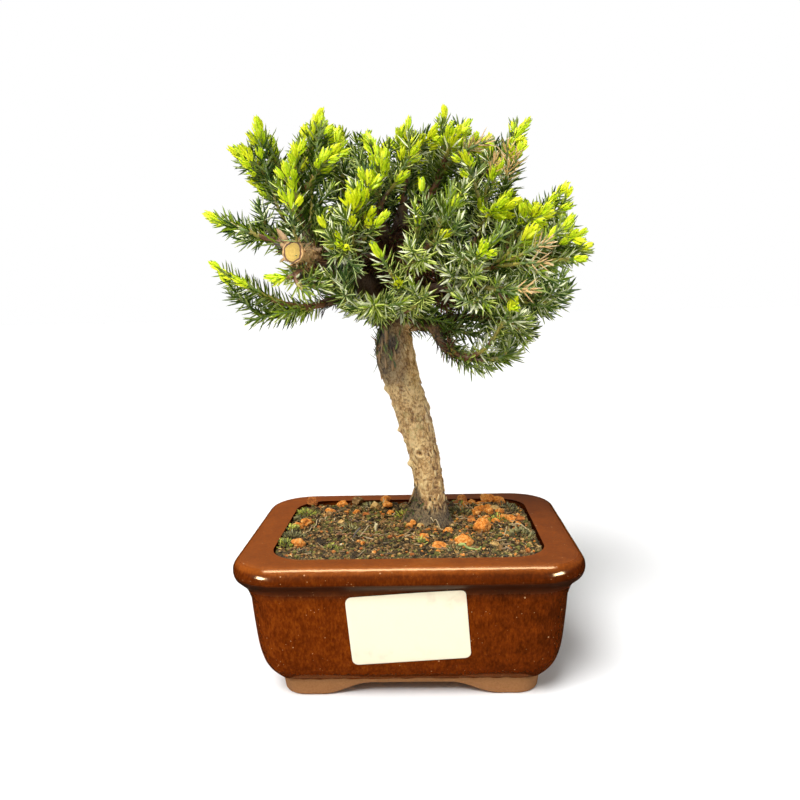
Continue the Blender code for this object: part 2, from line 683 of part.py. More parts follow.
def drop_scraps(obj):
    """Keep only the largest connected piece of the object's mesh."""
    bm = bmesh.new()
    bm.from_mesh(obj.data)
    bmesh.ops.triangulate(bm, faces=bm.faces)
    bm.verts.ensure_lookup_table()
    unseen = set(bm.verts)
    pieces = []
    while unseen:
        front = [unseen.pop()]
        piece = list(front)
        while front:
            near = {edge.other_vert(v) for v in front for edge in v.link_edges} & unseen
            unseen -= near
            front = list(near)
            piece += front
        pieces.append(piece)
    largest = max(pieces, key=len)
    for piece in pieces:
        if piece is not largest:
            bmesh.ops.delete(bm, geom=piece, context="VERTS")
    bm.to_mesh(obj.data)
    bm.free()


def make_foliage(collection, material):
    """The foliage masses: forking stems and side shoots with needles, each mass fused."""
    limbs = [(path, foot) for path, foot, _ in bough_paths().values()]
    for (_, low, r0), (_, high, r1) in zip(TRUNK_STATIONS, TRUNK_STATIONS[1:]):
        limbs.append(([trunk_centre(low), trunk_centre(high)], max(r0, r1)))
    axes = {mass[0]: leading_paths(mass) for mass in MASSES}
    for mass in MASSES:
        name, carrier, _ = mass
        carrying = bough_paths()[carrier][0] if carrier in bough_paths() else None
        away = [(path, radius) for path, radius in limbs if path != carrying]
        room = Room(name, axes, away if carrier != TRUNK else away[:-1])
        leading = axes[name]
        stem = new_object(name, shoot_body(leading[0], STEM_RADIUS, 2, room), collection,
                          material)
        parts = new_collection(name + "_shoots")
        bodies = [shoot_body(path, SHOOT_RADIUS, 2, room) for path in leading[1:]]
        for path in side_paths(leading):
            kept = clear_stretch(path, SHOOT_RADIUS, room)
            if len(kept) > 1 and path_length(kept) > SIDE_SHORTEST:
                bodies.append(shoot_body(kept, SHOOT_RADIUS, 1, room))
        for number, body in enumerate(bodies):
            new_object(f"{name}_shoot_{number}", body, parts)
        fuse(stem, parts)
        drop_scraps(stem)


def main():
    """Build the whole bonsai."""
    clear_scene()
    part = new_collection("juniper_bonsai")
    cutters = new_collection("cutters")
    make_pot(part, cutters, new_material("glaze", GLAZE))
    make_soil(part, new_material("soil", EARTH))
    make_label(part, cutters, new_material("label", PAPER))
    make_limbs(part, cutters, new_material("bark", BARK))
    make_foliage(part, new_material("needles", TWIG_GREEN))


main()
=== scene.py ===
import math

import bmesh
import bpy
import numpy as np
from mathutils import Matrix, Vector


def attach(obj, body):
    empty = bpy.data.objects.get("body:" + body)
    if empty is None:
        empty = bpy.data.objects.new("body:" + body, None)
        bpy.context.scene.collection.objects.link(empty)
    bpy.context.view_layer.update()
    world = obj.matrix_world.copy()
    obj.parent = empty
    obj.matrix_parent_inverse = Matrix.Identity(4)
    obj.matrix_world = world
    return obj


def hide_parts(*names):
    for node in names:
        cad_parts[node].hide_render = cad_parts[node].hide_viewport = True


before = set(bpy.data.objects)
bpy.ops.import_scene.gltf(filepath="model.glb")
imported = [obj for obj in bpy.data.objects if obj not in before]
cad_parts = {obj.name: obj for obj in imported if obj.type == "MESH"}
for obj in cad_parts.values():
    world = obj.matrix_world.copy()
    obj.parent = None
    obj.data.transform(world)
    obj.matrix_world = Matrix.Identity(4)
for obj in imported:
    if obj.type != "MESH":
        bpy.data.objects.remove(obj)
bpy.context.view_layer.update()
mm = 0.001
print("frame:", len(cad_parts), "solids")


# Shader tools

class Wire:
    # an output socket of a shader node: sums, differences, products and quotients of it add their Math
    # nodes

    def __init__(self, tree, socket=None):
        self.tree, self.socket = tree, socket

    def node(self, kind, settings=None, inputs=None, output=0):
        # any node, from its type, its settings, then the values or links of its sockets
        made = self.tree.nodes.new("ShaderNode" + kind)
        for key, value in (settings or {}).items():
            if key == "stops":
                ends = made.color_ramp.elements
                for element, (place, tint) in zip(ends, (value[0], value[-1])):
                    element.position = place
                    element.color = (*tint, 1.0)
                for place, tint in value[1:-1]:
                    ends.new(place).color = (*tint, 1.0)
            else:
                setattr(made, key, value)
        for key, value in (inputs or {}).items():
            if isinstance(value, Wire):
                self.tree.links.new(value.socket, made.inputs[key])
            else:
                made.inputs[key].default_value = value
        return Wire(self.tree, made.outputs[output])

    def maths(self, operation, *values):
        # one of the Math node's operations on values or links
        return self.node("Math", {"operation": operation}, dict(enumerate(values)))

    def __add__(self, other):
        return self.maths("ADD", self, other)

    def __sub__(self, other):
        return self.maths("SUBTRACT", self, other)

    def __rsub__(self, other):
        return self.maths("SUBTRACT", other, self)

    def __mul__(self, other):
        return self.maths("MULTIPLY", self, other)

    def __truediv__(self, other):
        return self.maths("DIVIDE", self, other)

    __radd__ = __add__
    __rmul__ = __mul__

    def part(self, axis):
        # one coordinate of a vector
        return self.node("SeparateXYZ", None, {0: self}, axis)

    def ramp(self, low, high):
        # 0 below low, 1 above high, eased between
        return self.node("MapRange", {"interpolation_type": "SMOOTHSTEP"}, {0: self, 1: low, 2: high})

    def tint(self, low, high):
        # from one colour to another by this value
        inputs = {0: self}
        for place, value in ((6, low), (7, high)):
            inputs[place] = value if isinstance(value, Wire) else (*value, 1.0)
        return self.node("Mix", {"data_type": "RGBA"}, inputs, 2)

    def tints(self, *stops):
        # a colour ramp over this value, from pairs of a place and a colour
        return self.node("ValToRGB", {"stops": stops}, {0: self})

    def drawnUp(self, share):
        # these coordinates with heights shrunk, which draws a pattern out upright
        return self.node("Mapping", None, {"Vector": self, "Scale": (1.0, 1.0, share)})

    def away(self, middle, share=1.0):
        # the distance to a point in millimetres, with heights shrunk by a share
        shift = (-middle[0] * mm, -middle[1] * mm, -share * middle[2] * mm)
        near = self.node("Mapping", None, {"Vector": self, "Scale": (1.0, 1.0, share),
                                           "Location": shift})
        return near.node("VectorMath", {"operation": "LENGTH"}, {0: near}, "Value")

    def noise(self, cell, detail=3.0, rough=0.55, seed=0.0):
        # cloudy noise with clouds of about the given size in millimetres
        return self.node("TexNoise", {"noise_dimensions": "4D"}, {
            "Vector": self, "W": seed, "Scale": 1 / (cell * mm), "Detail": detail, "Roughness": rough})

    def cells(self, cell, output=0):
        # distance to the nearest of many scattered points
        return self.node("TexVoronoi", None, {"Vector": self, "Scale": 1 / (cell * mm)}, output)

    def bump(self, depth):
        # a surface normal from this height, 1 standing for the depth in millimetres
        return self.node("Bump", None, {"Height": self, "Distance": depth * mm})


def newMaterial(name, plain, recipe=None):
    # plain gives the shader's own values; recipe gives what varies, from the coordinates
    material = bpy.data.materials.new(name)
    material.use_nodes = True
    tree = material.node_tree
    shader = tree.nodes["Principled BSDF"]
    for key, value in plain.items():
        shader.inputs[key].default_value = (*value, 1.0) if key == "Base Color" else value
    if recipe:
        place = Wire(tree).node("TexCoord", output="Object")
        for key, wire in recipe(place).items():
            tree.links.new(wire.socket, shader.inputs[key])
    return material


# Mesh tools

def newPiece(name, points, faces, materials, slot=None, kinds=None, smooth=True, sharp=None,
             depth=None):
    # points and faces as arrays, faces all with the same number of corners; depth is a number
    # for each point that the material may read
    mesh = bpy.data.meshes.new(name)
    count, corners = faces.shape
    mesh.vertices.add(len(points))
    mesh.vertices.foreach_set("co", np.asarray(points * mm, np.float32).ravel())
    mesh.loops.add(faces.size)
    mesh.loops.foreach_set("vertex_index", faces.astype(np.int32).ravel())
    mesh.polygons.add(count)
    mesh.polygons.foreach_set("loop_start", np.arange(0, faces.size, corners, dtype=np.int32))
    for material in materials:
        mesh.materials.append(material)
    if kinds is not None:
        mesh.polygons.foreach_set("material_index", kinds.astype(np.int32))
    mesh.polygons.foreach_set("use_smooth", np.full(count, smooth))
    mesh.update(calc_edges=True)
    mesh.validate()
    if sharp:
        mesh.set_sharp_from_angle(angle=math.radians(sharp))
    if depth is not None:
        mesh.attributes.new("depth", "FLOAT", "POINT").data.foreach_set("value", depth)
    piece = bpy.data.objects.new(name, mesh)
    bpy.context.scene.collection.objects.link(piece)
    if slot:
        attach(piece, "root")
    return piece


def gridFaces(rows, columns, closeRows=False):
    # quads between neighbours of a grid whose columns run round in a ring
    i = np.arange(rows if closeRows else rows - 1)[:, None]
    j = np.arange(columns)[None, :]
    above = (i + 1) % rows
    beside = (j + 1) % columns
    corners = [i * columns + j, i * columns + beside, above * columns + beside,
               above * columns + j]
    return np.stack(np.broadcast_arrays(*corners), -1).reshape(-1, 4)


def spokes(side, other, turns):
    # the directions at some turns round an axis, from its two normals
    return side * np.cos(turns) + other * np.sin(turns)


def closedLoft(rings):
    # rings of equal point count, joined, with a middle point closing each end by a fan
    rows, columns = len(rings), len(rings[0])
    points = np.concatenate([rings.reshape(-1, 3), [rings[0].mean(0)], [rings[-1].mean(0)]])
    quads = gridFaces(rows, columns)
    j = np.arange(columns)
    beside = (j + 1) % columns
    last = (rows - 1) * columns
    foot = np.stack([beside, j, np.full(columns, rows * columns)], 1)
    head = np.stack([last + j, last + beside, np.full(columns, rows * columns + 1)], 1)
    triangles = np.concatenate([quads[:, [0, 1, 2]], quads[:, [0, 2, 3]], foot, head])
    return points, triangles


def joinMeshes(meshes):
    # many (points, faces) pairs as one
    starts = np.cumsum([0] + [len(points) for points, _ in meshes[:-1]])
    return (np.concatenate([points for points, _ in meshes]),
            np.concatenate([faces + start for (_, faces), start in zip(meshes, starts)]))


def latticeNoise(points, cell, seed=0):
    # random numbers on a lattice of the given cell, eased between its corners, from -1 to 1
    at = points / cell
    base = np.floor(at).astype(np.int64)
    part = at - base
    ease = part * part * (3 - 2 * part)
    total = np.zeros(len(points))
    for corner in np.ndindex(2, 2, 2):
        x, y, z = (base + corner).T
        key = (x * 73856093 ^ y * 19349663 ^ z * 83492791 ^ (seed + 1) * 297121507) & 0x7fffffff
        key = (key ^ (key >> 13)) * 1274126177 & 0x7fffffff
        key = (key ^ (key >> 16)) * 668265263 & 0x7fffffff
        weight = np.prod(np.where(corner, ease, 1 - ease), 1)
        total += weight * (key / 0x3fffffff - 1)
    return total


def throughPoints(knots, steps):
    # the Catmull-Rom curve through rows of numbers
    knots = np.asarray(knots, float)
    ends = np.concatenate([[2 * knots[0] - knots[1]], knots, [2 * knots[-1] - knots[-2]]])
    a, b, c, d = (ends[k:len(ends) - 3 + k, None] for k in range(4))
    t = (np.arange(steps) / steps)[None, :, None]
    curve = 0.5 * (2 * b + (c - a) * t + (2 * a - 5 * b + 4 * c - d) * t ** 2
                   + (3 * b - a - 3 * c + d) * t ** 3)
    return np.concatenate([curve.reshape(-1, knots.shape[1]), knots[-1:]])


# Camera, light and floor

view = {
    "position": (8.56, -346.5, 170.6), "pitch": 7.852, "yaw": -1.905, "roll": -1.422,
    "lens": 33.75,
    "sun": 3.7, "sunSpread": 30, "sunFrom": (-0.34, -0.66, 1.0), "sky": 0.5,
    "lamps": (                                     # name, place, size, power
        ("strip", (0, -140, 640), (760, 150), 9.0), ("left", (-440, -400, 330), (170, 130), 6.0),
        ("right", (470, -370, 330), (170, 130), 6.0)),
    "lampsTo": (0, 0, 60), "floor": 6000.0,        # where the lamps look, half the floor's side
}


def lookAlong():
    # the camera's right, up and backward directions as a matrix's columns
    pitch, yaw, roll = (math.radians(view[k]) for k in ("pitch", "yaw", "roll"))
    ahead = Vector((math.sin(yaw) * math.cos(pitch), math.cos(yaw) * math.cos(pitch),
                    -math.sin(pitch)))
    level = Vector((math.cos(yaw), -math.sin(yaw), 0))
    above = level.cross(ahead)
    right = level * math.cos(roll) + above * math.sin(roll)
    up = above * math.cos(roll) - level * math.sin(roll)
    return Matrix((right, up, -ahead)).transposed()


def makeStudio():
    # the camera in its place, a sky that is white to it and soft to the rest, paler with height,
    # a wide sun, lamps that only the glaze and leaves mirror, and a floor
    camera = bpy.data.objects.new("camera", bpy.data.cameras.new("camera"))
    camera.data.lens = view["lens"]
    camera.data.clip_start = 0.01
    camera.matrix_world = lookAlong().to_4x4()
    camera.location = Vector(view["position"]) * mm
    bpy.context.scene.collection.objects.link(camera)
    bpy.context.scene.camera = camera

    world = bpy.data.worlds.new("studio")
    world.use_nodes = True
    bpy.context.scene.world = world
    wire = Wire(world.node_tree)
    height = wire.node("TexCoord", output="Generated").part(2)
    glow = height.ramp(-0.05, 0.8).tint((0.05, 0.035, 0.02), (1.0, 0.99, 0.97))
    sheen = wire.node("LightPath", output="Is Glossy Ray")
    soft = wire.node("Background", None, {"Color": glow, "Strength": (1 - sheen * 0.5) * view["sky"]})
    white = wire.node("Background", None, {"Color": (1, 1, 1, 1), "Strength": 1.0})
    seen = wire.node("LightPath", output="Is Camera Ray")
    mixed = wire.node("MixShader", None, {0: seen, 1: soft, 2: white})
    world.node_tree.links.new(mixed.socket, world.node_tree.nodes["World Output"].inputs[0])

    sun = bpy.data.lights.new("sun", "SUN")
    sun.energy = view["sun"]
    sun.angle = math.radians(view["sunSpread"])
    lamp = bpy.data.objects.new("sun", sun)
    lamp.rotation_euler = Vector(view["sunFrom"]).to_track_quat("Z", "Y").to_euler()
    lamp.visible_glossy = False                 # the lamps below give the highlights
    bpy.context.scene.collection.objects.link(lamp)

    for name, place, size, power in view["lamps"]:
        area = bpy.data.lights.new(name, "AREA")
        area.shape = "RECTANGLE"
        area.size, area.size_y = size[0] * mm, size[1] * mm
        area.energy = power
        lamp = bpy.data.objects.new(name, area)
        lamp.location = Vector(place) * mm
        back = Vector(place) - Vector(view["lampsTo"])
        lamp.rotation_euler = back.to_track_quat("Z", "Y").to_euler()
        lamp.visible_diffuse = False            # they light nothing, only the sheen
        bpy.context.scene.collection.objects.link(lamp)

    half = view["floor"]
    corners = np.array([(-half, -half, 0), (half, -half, 0), (half, half, 0), (-half, half, 0)])
    plain = newMaterial("paleFloor", {"Base Color": (0.93, 0.93, 0.93), "Roughness": 0.9})
    floor = newPiece("floor", corners, np.array([[0, 1, 2, 3]]), [plain], smooth=False)
    floor.visible_glossy = False                # so the glaze keeps its depth of colour


makeStudio()
bpy.context.scene.view_settings.view_transform = "Standard"
print("studio: camera, lights and floor")


# Pot

pot = {
    "width": 150.0, "depth": 123.4, "height": 62.7, "rimCorner": 23.5,
    "footHeight": 6.6, "footInset": 19.3, "footWall": 9.0, "footLength": 17.0,
    "archHeight": 5.6, "archRun": 22.0, "mouthInset": 16.5, "mouthCorner": 15.0,
    "mouthRound": 2.1, "floor": 11.0, "drain": 6.0,
    "steps": (16, 60, 48),                         # points round a corner, along the sides
    "inside": ((55.0, 16.5, 15.0), (45.0, 16.5, 14.6), (28.0, 16.6, 13.0), (15.0, 18.4, 10.5),
               (12.0, 20.4, 8.5)),                 # height, inset, corner radius
    "recess": ((6.3, 30.0, 4.0), (6.1, 28.3, 5.0), (0.4, 28.1, 5.0), (0.0, 27.4, 5.4)),
    "wall": ((8.0, 18.4), (9.8, 16.4), (12.2, 14.1), (15.4, 12.0), (19.5, 10.5), (25.0, 9.3),
             (35.0, 8.1), (44.5, 7.2)),            # height, inset from the rim's outline
    "sideRim": ((46.0, 6.8), (48.0, 6.1), (49.4, 5.4), (50.8, 4.3), (52.0, 2.9), (53.0, 1.8),
                (54.0, 0.9), (55.4, 0.3), (57.0, 0.0), (58.6, 0.15), (59.8, 0.6), (60.8, 1.3),
                (61.6, 2.2), (62.15, 3.4), (62.5, 4.9), (62.65, 6.8), (62.7, 9.0)),
    "frontRim": ((46.0, 7.2), (48.0, 7.2), (49.8, 7.2), (51.2, 6.9), (52.4, 6.0), (53.5, 4.7),
                 (54.6, 3.4), (55.8, 2.4), (57.1, 2.0), (58.3, 2.3), (59.5, 2.95), (60.6, 3.8),
                 (61.55, 4.75), (62.15, 5.6), (62.5, 6.5), (62.65, 7.6), (62.7, 9.0)),
}


def outlineShares(arcSteps, longSteps, shortSteps):
    # for each point round a rounded rectangle: its share of the corner centres, its direction
    corners = ((1, 1), (-1, 1), (-1, -1), (1, -1))
    places, turns = [], []
    for quarter in range(4):
        here, there = np.array(corners[quarter]), np.array(corners[(quarter + 1) % 4])
        places.append(np.tile(here, (arcSteps + 1, 1)))
        turns.append(np.linspace(90 * quarter, 90 * quarter + 90, arcSteps + 1))
        share = np.linspace(0, 1, (longSteps, shortSteps)[quarter % 2] + 1)[1:-1, None]
        places.append(here * (1 - share) + there * share)
        turns.append(np.full(len(share), 90.0 * quarter + 90))
    turns = np.radians(np.concatenate(turns))
    return np.concatenate(places), np.stack([np.cos(turns), np.sin(turns)], 1)


def outlineRings(levels, shares, width, depth):
    # rounded rectangles at (height, inset, corner radius), one ring of points for each level
    heights, insets, corners = (np.array(c, float)[:, None] for c in zip(*levels))
    places, directions = shares
    x = places[:, 0] * (width / 2 - insets - corners) + directions[:, 0] * corners
    y = places[:, 1] * (depth / 2 - insets - corners) + directions[:, 1] * corners
    return np.stack([x, y, np.broadcast_to(heights, x.shape)], -1)


def archLift(rings):
    # how high the gap between two feet reaches over each point: flat feet, then half a cosine up
    x, y = np.abs(rings[..., 0]), np.abs(rings[..., 1])
    lift = np.zeros(x.shape)
    for along, across, side, half in ((x, y, pot["depth"], pot["width"]),
                                      (y, x, pot["width"], pot["depth"])):
        footEnd = half / 2 - pot["footInset"] - pot["footLength"]
        share = np.clip((footEnd - along) / min(pot["archRun"], footEnd), 0, 1)
        onSide = across > side / 2 - pot["footInset"] - pot["footWall"] - 2
        rise = pot["archHeight"] * (1 - np.cos(math.pi * share)) / 2
        lift = np.maximum(lift, np.where(onSide, rise, 0))
    return lift


def glaze(place):
    # brown glaze, rusty where it thins at the edges, with fine upright mottling and pale specks;
    # painted shade darkens it towards the right, in the hollow under the rim, on the roll and low on
    # the wall; bare clay on the feet
    height = place.part(2)
    cloud = place.noise(9.0, 3.0, 0.6)
    fine = place.drawnUp(0.45).noise(0.9, 4.0, 0.65, 3.0)
    # the tone's fall towards the right is painted shade
    tone = (cloud - 0.5) * 0.7 + (fine - 0.5) * 1.35 + 0.5 - place.part(0).ramp(0, 80 * mm) * 0.24
    wall = tone.tints((0.15, (0.058, 0.0100, 0.0009)), (0.5, (0.138, 0.0225, 0.0015)),
                      (0.85, (0.26, 0.056, 0.004)))
    # painted shade: in the hollow under the rim, on the roll below the rim's edge, and low on the wall
    # where it curves in towards the feet
    under = height.ramp(47 * mm, 53.5 * mm) * (1 - height.ramp(55.0 * mm, 56.6 * mm))
    low = 1 - height.ramp(8 * mm, 17 * mm)
    roll = height.ramp(54 * mm, 57 * mm) * (1 - height.ramp(59.2 * mm, 60.6 * mm))
    shade = under * 0.88 + low * 0.5 + roll * 0.42
    lip = height.ramp(59.2 * mm, 61.6 * mm)
    rim = tone.tint((0.155, 0.030, 0.0022), (0.37, 0.086, 0.0065))
    wall = lip.tint(wall, rim)
    # the painted shade darkens the glaze there
    wall = shade.tint(wall, (0.046, 0.0066, 0.0004))
    for cell, least, most in ((3.4, 0.50, 0.8), (1.8, 0.52, 0.7)):
        chance = place.cells(cell, output="Color")
        size = chance.part(1) * 0.08 + 0.025
        speck = 1 - (place.cells(cell) / size).ramp(0.7, 1.3)
        speck = speck * chance.part(0).ramp(least, least + 0.02)
        wall = (speck * most).tint(wall, (0.66, 0.36, 0.17))
    grain = place.noise(0.8, 4.0, 0.6, 8.0)
    clay = grain.tint((0.19, 0.074, 0.024), (0.40, 0.18, 0.068))
    edge = height + (place.noise(6.0, 2.0, 0.5, 5.0) - 0.5) * 1.6 * mm
    glazed = edge.ramp(7.5 * mm, 8.0 * mm)
    flat = height.ramp(61.6 * mm, 62.4 * mm)
    relief = glazed * (place.noise(5.0, 2.0, 0.5, 2.0) * 0.5 + fine * 0.06) + (1 - glazed) * grain
    return {"Base Color": glazed.tint(clay, wall),
            "Roughness": 0.85 - glazed * (0.77 - fine * 0.12 - under * 0.35 - flat * 0.24),
            "Normal": relief.bump(0.22)}


def makePot():
    # the profile goes up the outside, over the rim, down the inside, through the drain hole
    # and back under the foot ring, carried round rounded rectangles as one closed surface
    levels = [(0.0, pot["footInset"] + 0.9, 9.1), (0.35, pot["footInset"] + 0.2, 9.8)]
    levels += [(z, pot["footInset"] - 0.12 * z, 10.0) for z in (1.0, 2.4, 4.0, 5.4, 6.6)]
    levels += [(7.3, 18.75, 10.1), (7.7, 18.5, 9.4)]
    feet = len(levels)
    rims = []
    for rim in ("sideRim", "frontRim"):
        profile = throughPoints(pot["wall"] + pot[rim], 4)
        rims.append([(z, inset, pot["rimCorner"] - inset + 0.5) for z, inset in profile])
    levels += rims[0]
    levels += [(pot["height"] + dip, inset, pot["rimCorner"] - inset + 5.0 * (inset - 9) / 7)
               for inset, dip in ((10.5, -0.05), (12, -0.15), (13.6, -0.25))]
    turns = np.radians(np.linspace(75, 0, 6))
    lip = pot["mouthRound"]
    levels += [(pot["height"] - 2.4 + lip * s, pot["mouthInset"] - lip * c,
                pot["mouthCorner"] + lip * c) for s, c in zip(np.sin(turns), np.cos(turns))]
    levels += [*pot["inside"], (pot["floor"], 23.0, 6.0)]
    shares = outlineShares(*pot["steps"])
    rings = outlineRings(levels, shares, pot["width"], pot["depth"])
    front = outlineRings(rims[1], shares, pot["width"], pot["depth"])
    share = np.abs(shares[1][None, :, 1:]) ** 3
    rings[feet:feet + len(front)] += (front - rings[feet:feet + len(front)]) * share
    foot = rings[:7, :, 2] / pot["footHeight"]
    lift = archLift(rings[:7])
    rings[:7, :, 2] = lift + foot * (pot["footHeight"] - lift)

    round_ = rings[-1, :, :2] / np.linalg.norm(rings[-1, :, :2], axis=1)[:, None] * pot["drain"]
    drain = [np.column_stack([round_ * s, np.full(len(round_), z)])
             for s, z in ((1.2, pot["floor"]), (1.0, pot["floor"] - 0.5), (1.0, 6.8), (1.15, 6.3))]
    recess = outlineRings(pot["recess"], shares, pot["width"], pot["depth"])
    lift = archLift(recess[2:])
    recess[2:, :, 2] = lift + recess[2:, :, 2] * (1 - lift / pot["footHeight"])
    rings = np.concatenate([rings, drain, recess])
    rows, columns = rings.shape[:2]
    finish = newMaterial("brownGlaze", {"IOR": 1.45, "Specular Tint": (1.0, 0.74, 0.40, 1.0)}, glaze)
    piece = newPiece("glazed_pot", rings.reshape(-1, 3), gridFaces(rows, columns, True), [finish],
                     "glaze", sharp=62)
    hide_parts("pot")


makePot()
print("pot: glazed, with arched feet and a drain hole")


# Trunk and boughs

trunk = {
    "y": 10.0, "foot": 57.0, "rows": 450, "columns": 136,
    "stations": (                                  # X of the centre, height, radius
        (11.6, 60.9, 8.6), (10.9, 68.0, 7.8), (10.0, 80.0, 7.1), (7.6, 95.0, 7.1),
        (4.4, 108.0, 7.9), (1.6, 120.0, 8.4), (-1.8, 131.0, 8.3), (-4.0, 146.0, 7.9),
        (-5.4, 160.0, 7.2), (-6.6, 172.0, 6.4), (-6.2, 184.0, 5.2), (-3.4, 197.0, 3.7),
        (0.8, 212.6, 2.2)),
    "roots": ((180, 7.0, 22.0), (250, 2.4, 9.0), (330, 2.2, 8.0), (75, 3.0, 10.0)),
    "ridge": (200, 2.6, 142.0, 13.0),              # direction, depth, height, half length
    "knobs": (                                     # direction, height, radius, how far it stands out
        (215, 117.5, 1.5, 1.0), (186, 106.9, 1.3, 2.0), (190, 90.3, 1.6, 2.0), (186, 119.0, 1.8, 0.9),
        (205, 102.0, 1.3, 1.0), (262, 105.0, 1.8, 0.7), (190, 127.0, 2.2, 2.0), (60, 112.0, 2.2, 1.2),
        (110, 88.0, 1.8, 1.1), (20, 92.0, 1.6, 0.8), (140, 126.0, 2.4, 1.3)),
    "rings": ((255, 96.6, 1.9, 0.8), (338, 118.5, 2.2, 0.5), (75, 128.0, 2.6, 0.8)),  # healed scars
}

boughs = {                # what each grows from, its points, radius at root and tip
    "bough_left": ("trunk", ((-6, 10, 168), (-20, -6, 178), (-34, -23, 186), (-45, -35, 190)),
                   5.4, 4.7),
    "bough_left_up": ("bough_left", ((-36, -25, 187), (-40, -22, 196)), 2.4, 2.0),
    "bough_left_out": ("bough_left", ((-29, -17, 184), (-36, -11, 194)), 2.5, 2.0),
    "bough_left_side": ("bough_left", ((-41, -30, 189), (-49.5, -26, 193)), 2.2, 1.9),
    "bough_left_under": ("bough_left", ((-36, -26, 188), (-42, -35, 181)), 2.1, 1.8),
    "bough_left_low": ("trunk", ((-4, 10, 156), (-18, 9, 164), (-29, 1, 170), (-37, -6, 168)),
                       3.0, 2.1),
    "bough_front_left": ("trunk", ((-6, 10, 182), (-10, -6, 188), (-15, -15, 188.5)), 2.9, 2.1),
    "bough_front": ("trunk", ((-6, 10, 177), (-2, -6, 180), (1, -16, 182)), 2.8, 2.1),
    "bough_middle": ("trunk", ((-5, 10, 190), (-7, 3, 196), (-8.4, -2, 201)), 2.3, 2.0),
    "bough_crown_left": ("trunk", ((-6, 10, 183), (-14, 13, 194), (-20, 15, 203)), 2.7, 2.0),
    "bough_crown_right": ("trunk", ((-2, 10, 200), (5, 8, 206), (11, 6, 213)), 2.3, 2.0),
    "bough_right_high": ("trunk", ((-5.5, 10, 187), (8, 9, 197), (22, 10, 209)), 3.2, 2.1),
    "bough_right": ("trunk", ((-6, 10, 168), (14, 7, 174), (30, 4, 178.5), (42, 3, 181)), 4.6, 2.2),
    "bough_right_mid": ("bough_right", ((17, 6, 175), (23, 3, 182), (29, 1, 188)), 2.4, 2.0),
    "bough_right_crest": ("bough_right", ((30, 4, 178.5), (37, 0, 185), (43, -3, 189)), 2.2, 2.0),
    "bough_right_front": ("bough_right", ((9, 8, 173), (15, -6, 174), (20, -15, 174)), 2.7, 2.1),
    "bough_right_down": ("bough_right", ((27, 4, 178), (36, -3, 173), (42, -6, 170)), 2.2, 2.0),
    "bough_right_low": ("trunk", ((-4, 10, 158), (7, 4, 157.6), (15.6, -1, 156.6)), 3.4, 2.5),
    "bough_hanging": ("bough_right_low", ((14, -1.5, 157), (16.5, -7, 149), (24, -13, 144)),
                      2.2, 1.9),
    "bough_right_under": ("bough_right_low", ((10, 2.5, 157.4), (20, 3, 160), (28, 1, 160.5)),
                          2.1, 1.9),
    "bough_back_left": ("trunk", ((-6, 10, 172), (-15, 20, 178), (-22, 27, 183)), 3.4, 2.2),
    "bough_back": ("trunk", ((-6.4, 10, 181), (-8, 20, 189), (-10, 27, 198)), 2.7, 2.1),
    "bough_back_right": ("trunk", ((-6, 10, 175), (8, 21, 182), (18, 27, 188)), 3.3, 2.1),
    "bough_back_high": ("trunk", ((-3, 10, 196), (2, 16, 203), (6, 21, 210)), 2.3, 2.0),
    "bough_back_rise": ("bough_back_right", ((9, 22, 182), (14, 25, 192), (20, 28, 200)), 2.2, 2.0),
    "bough_back_low": ("bough_right", ((19, 5, 175), (26, 13, 171), (32, 20, 168)), 2.3, 2.0),
}
sawCut = {"bough": "bough_left", "near": (-45, -35, 190), "facing": (-0.30, -0.93, 0.12),
          "blend": 8.0}


def unit(vectors):
    # each vector over its own length
    return vectors / np.linalg.norm(vectors, axis=-1, keepdims=True)


def lengthsAlong(path):
    # the length of the path up to each of its points
    return np.concatenate([[0.0], np.cumsum(np.linalg.norm(np.diff(path, axis=0), axis=1))])


def evenPath(path, step):
    # the path again with its points about a step apart
    marks = lengthsAlong(path)
    wanted = np.linspace(0, marks[-1], max(2, round(marks[-1] / step)) + 1)
    return np.stack([np.interp(wanted, marks, path[:, k]) for k in range(3)], 1)


def framesAlong(path):
    # the direction at each point, and two normals carried on without twist
    ahead = unit(np.gradient(path, axis=0))
    side = np.zeros_like(ahead)
    last = np.array([1.0, 0, 0]) if abs(ahead[0, 0]) < 0.7 else np.array([0, 0, 1.0])
    for i, direction in enumerate(ahead):
        last = unit(last - direction * (last @ direction))
        side[i] = last
    return ahead, side, np.cross(ahead, side)


def tube(path, radii, sides):
    # a round tube along a path, its radius given at each point
    _, side, other = framesAlong(path)
    turns = np.linspace(0, 2 * math.pi, sides, endpoint=False)[None, :, None]
    out = spokes(side[:, None], other[:, None], turns)
    return closedLoft(path[:, None] + out * radii[:, None, None])


def barkRelief(points, seed):
    # upright plates, a tanh of noise, over low swellings and under a fine grain, with narrow
    # splits where another noise crosses nought
    drawn = points * (1, 1, 0.45)
    plates = latticeNoise(drawn, 1.9, seed)
    split = np.exp(-(latticeNoise(drawn, 2.6, seed + 1) / 0.10) ** 2)
    grain = latticeNoise(drawn, 0.55, seed + 2) + 0.6 * latticeNoise(points, 0.42, seed + 3)
    swell = latticeNoise(points * (1, 1, 0.7), 6.5, seed + 4)
    return 0.24 * np.tanh(2.2 * plates) - 0.34 * split + 0.16 * grain + 0.26 * swell


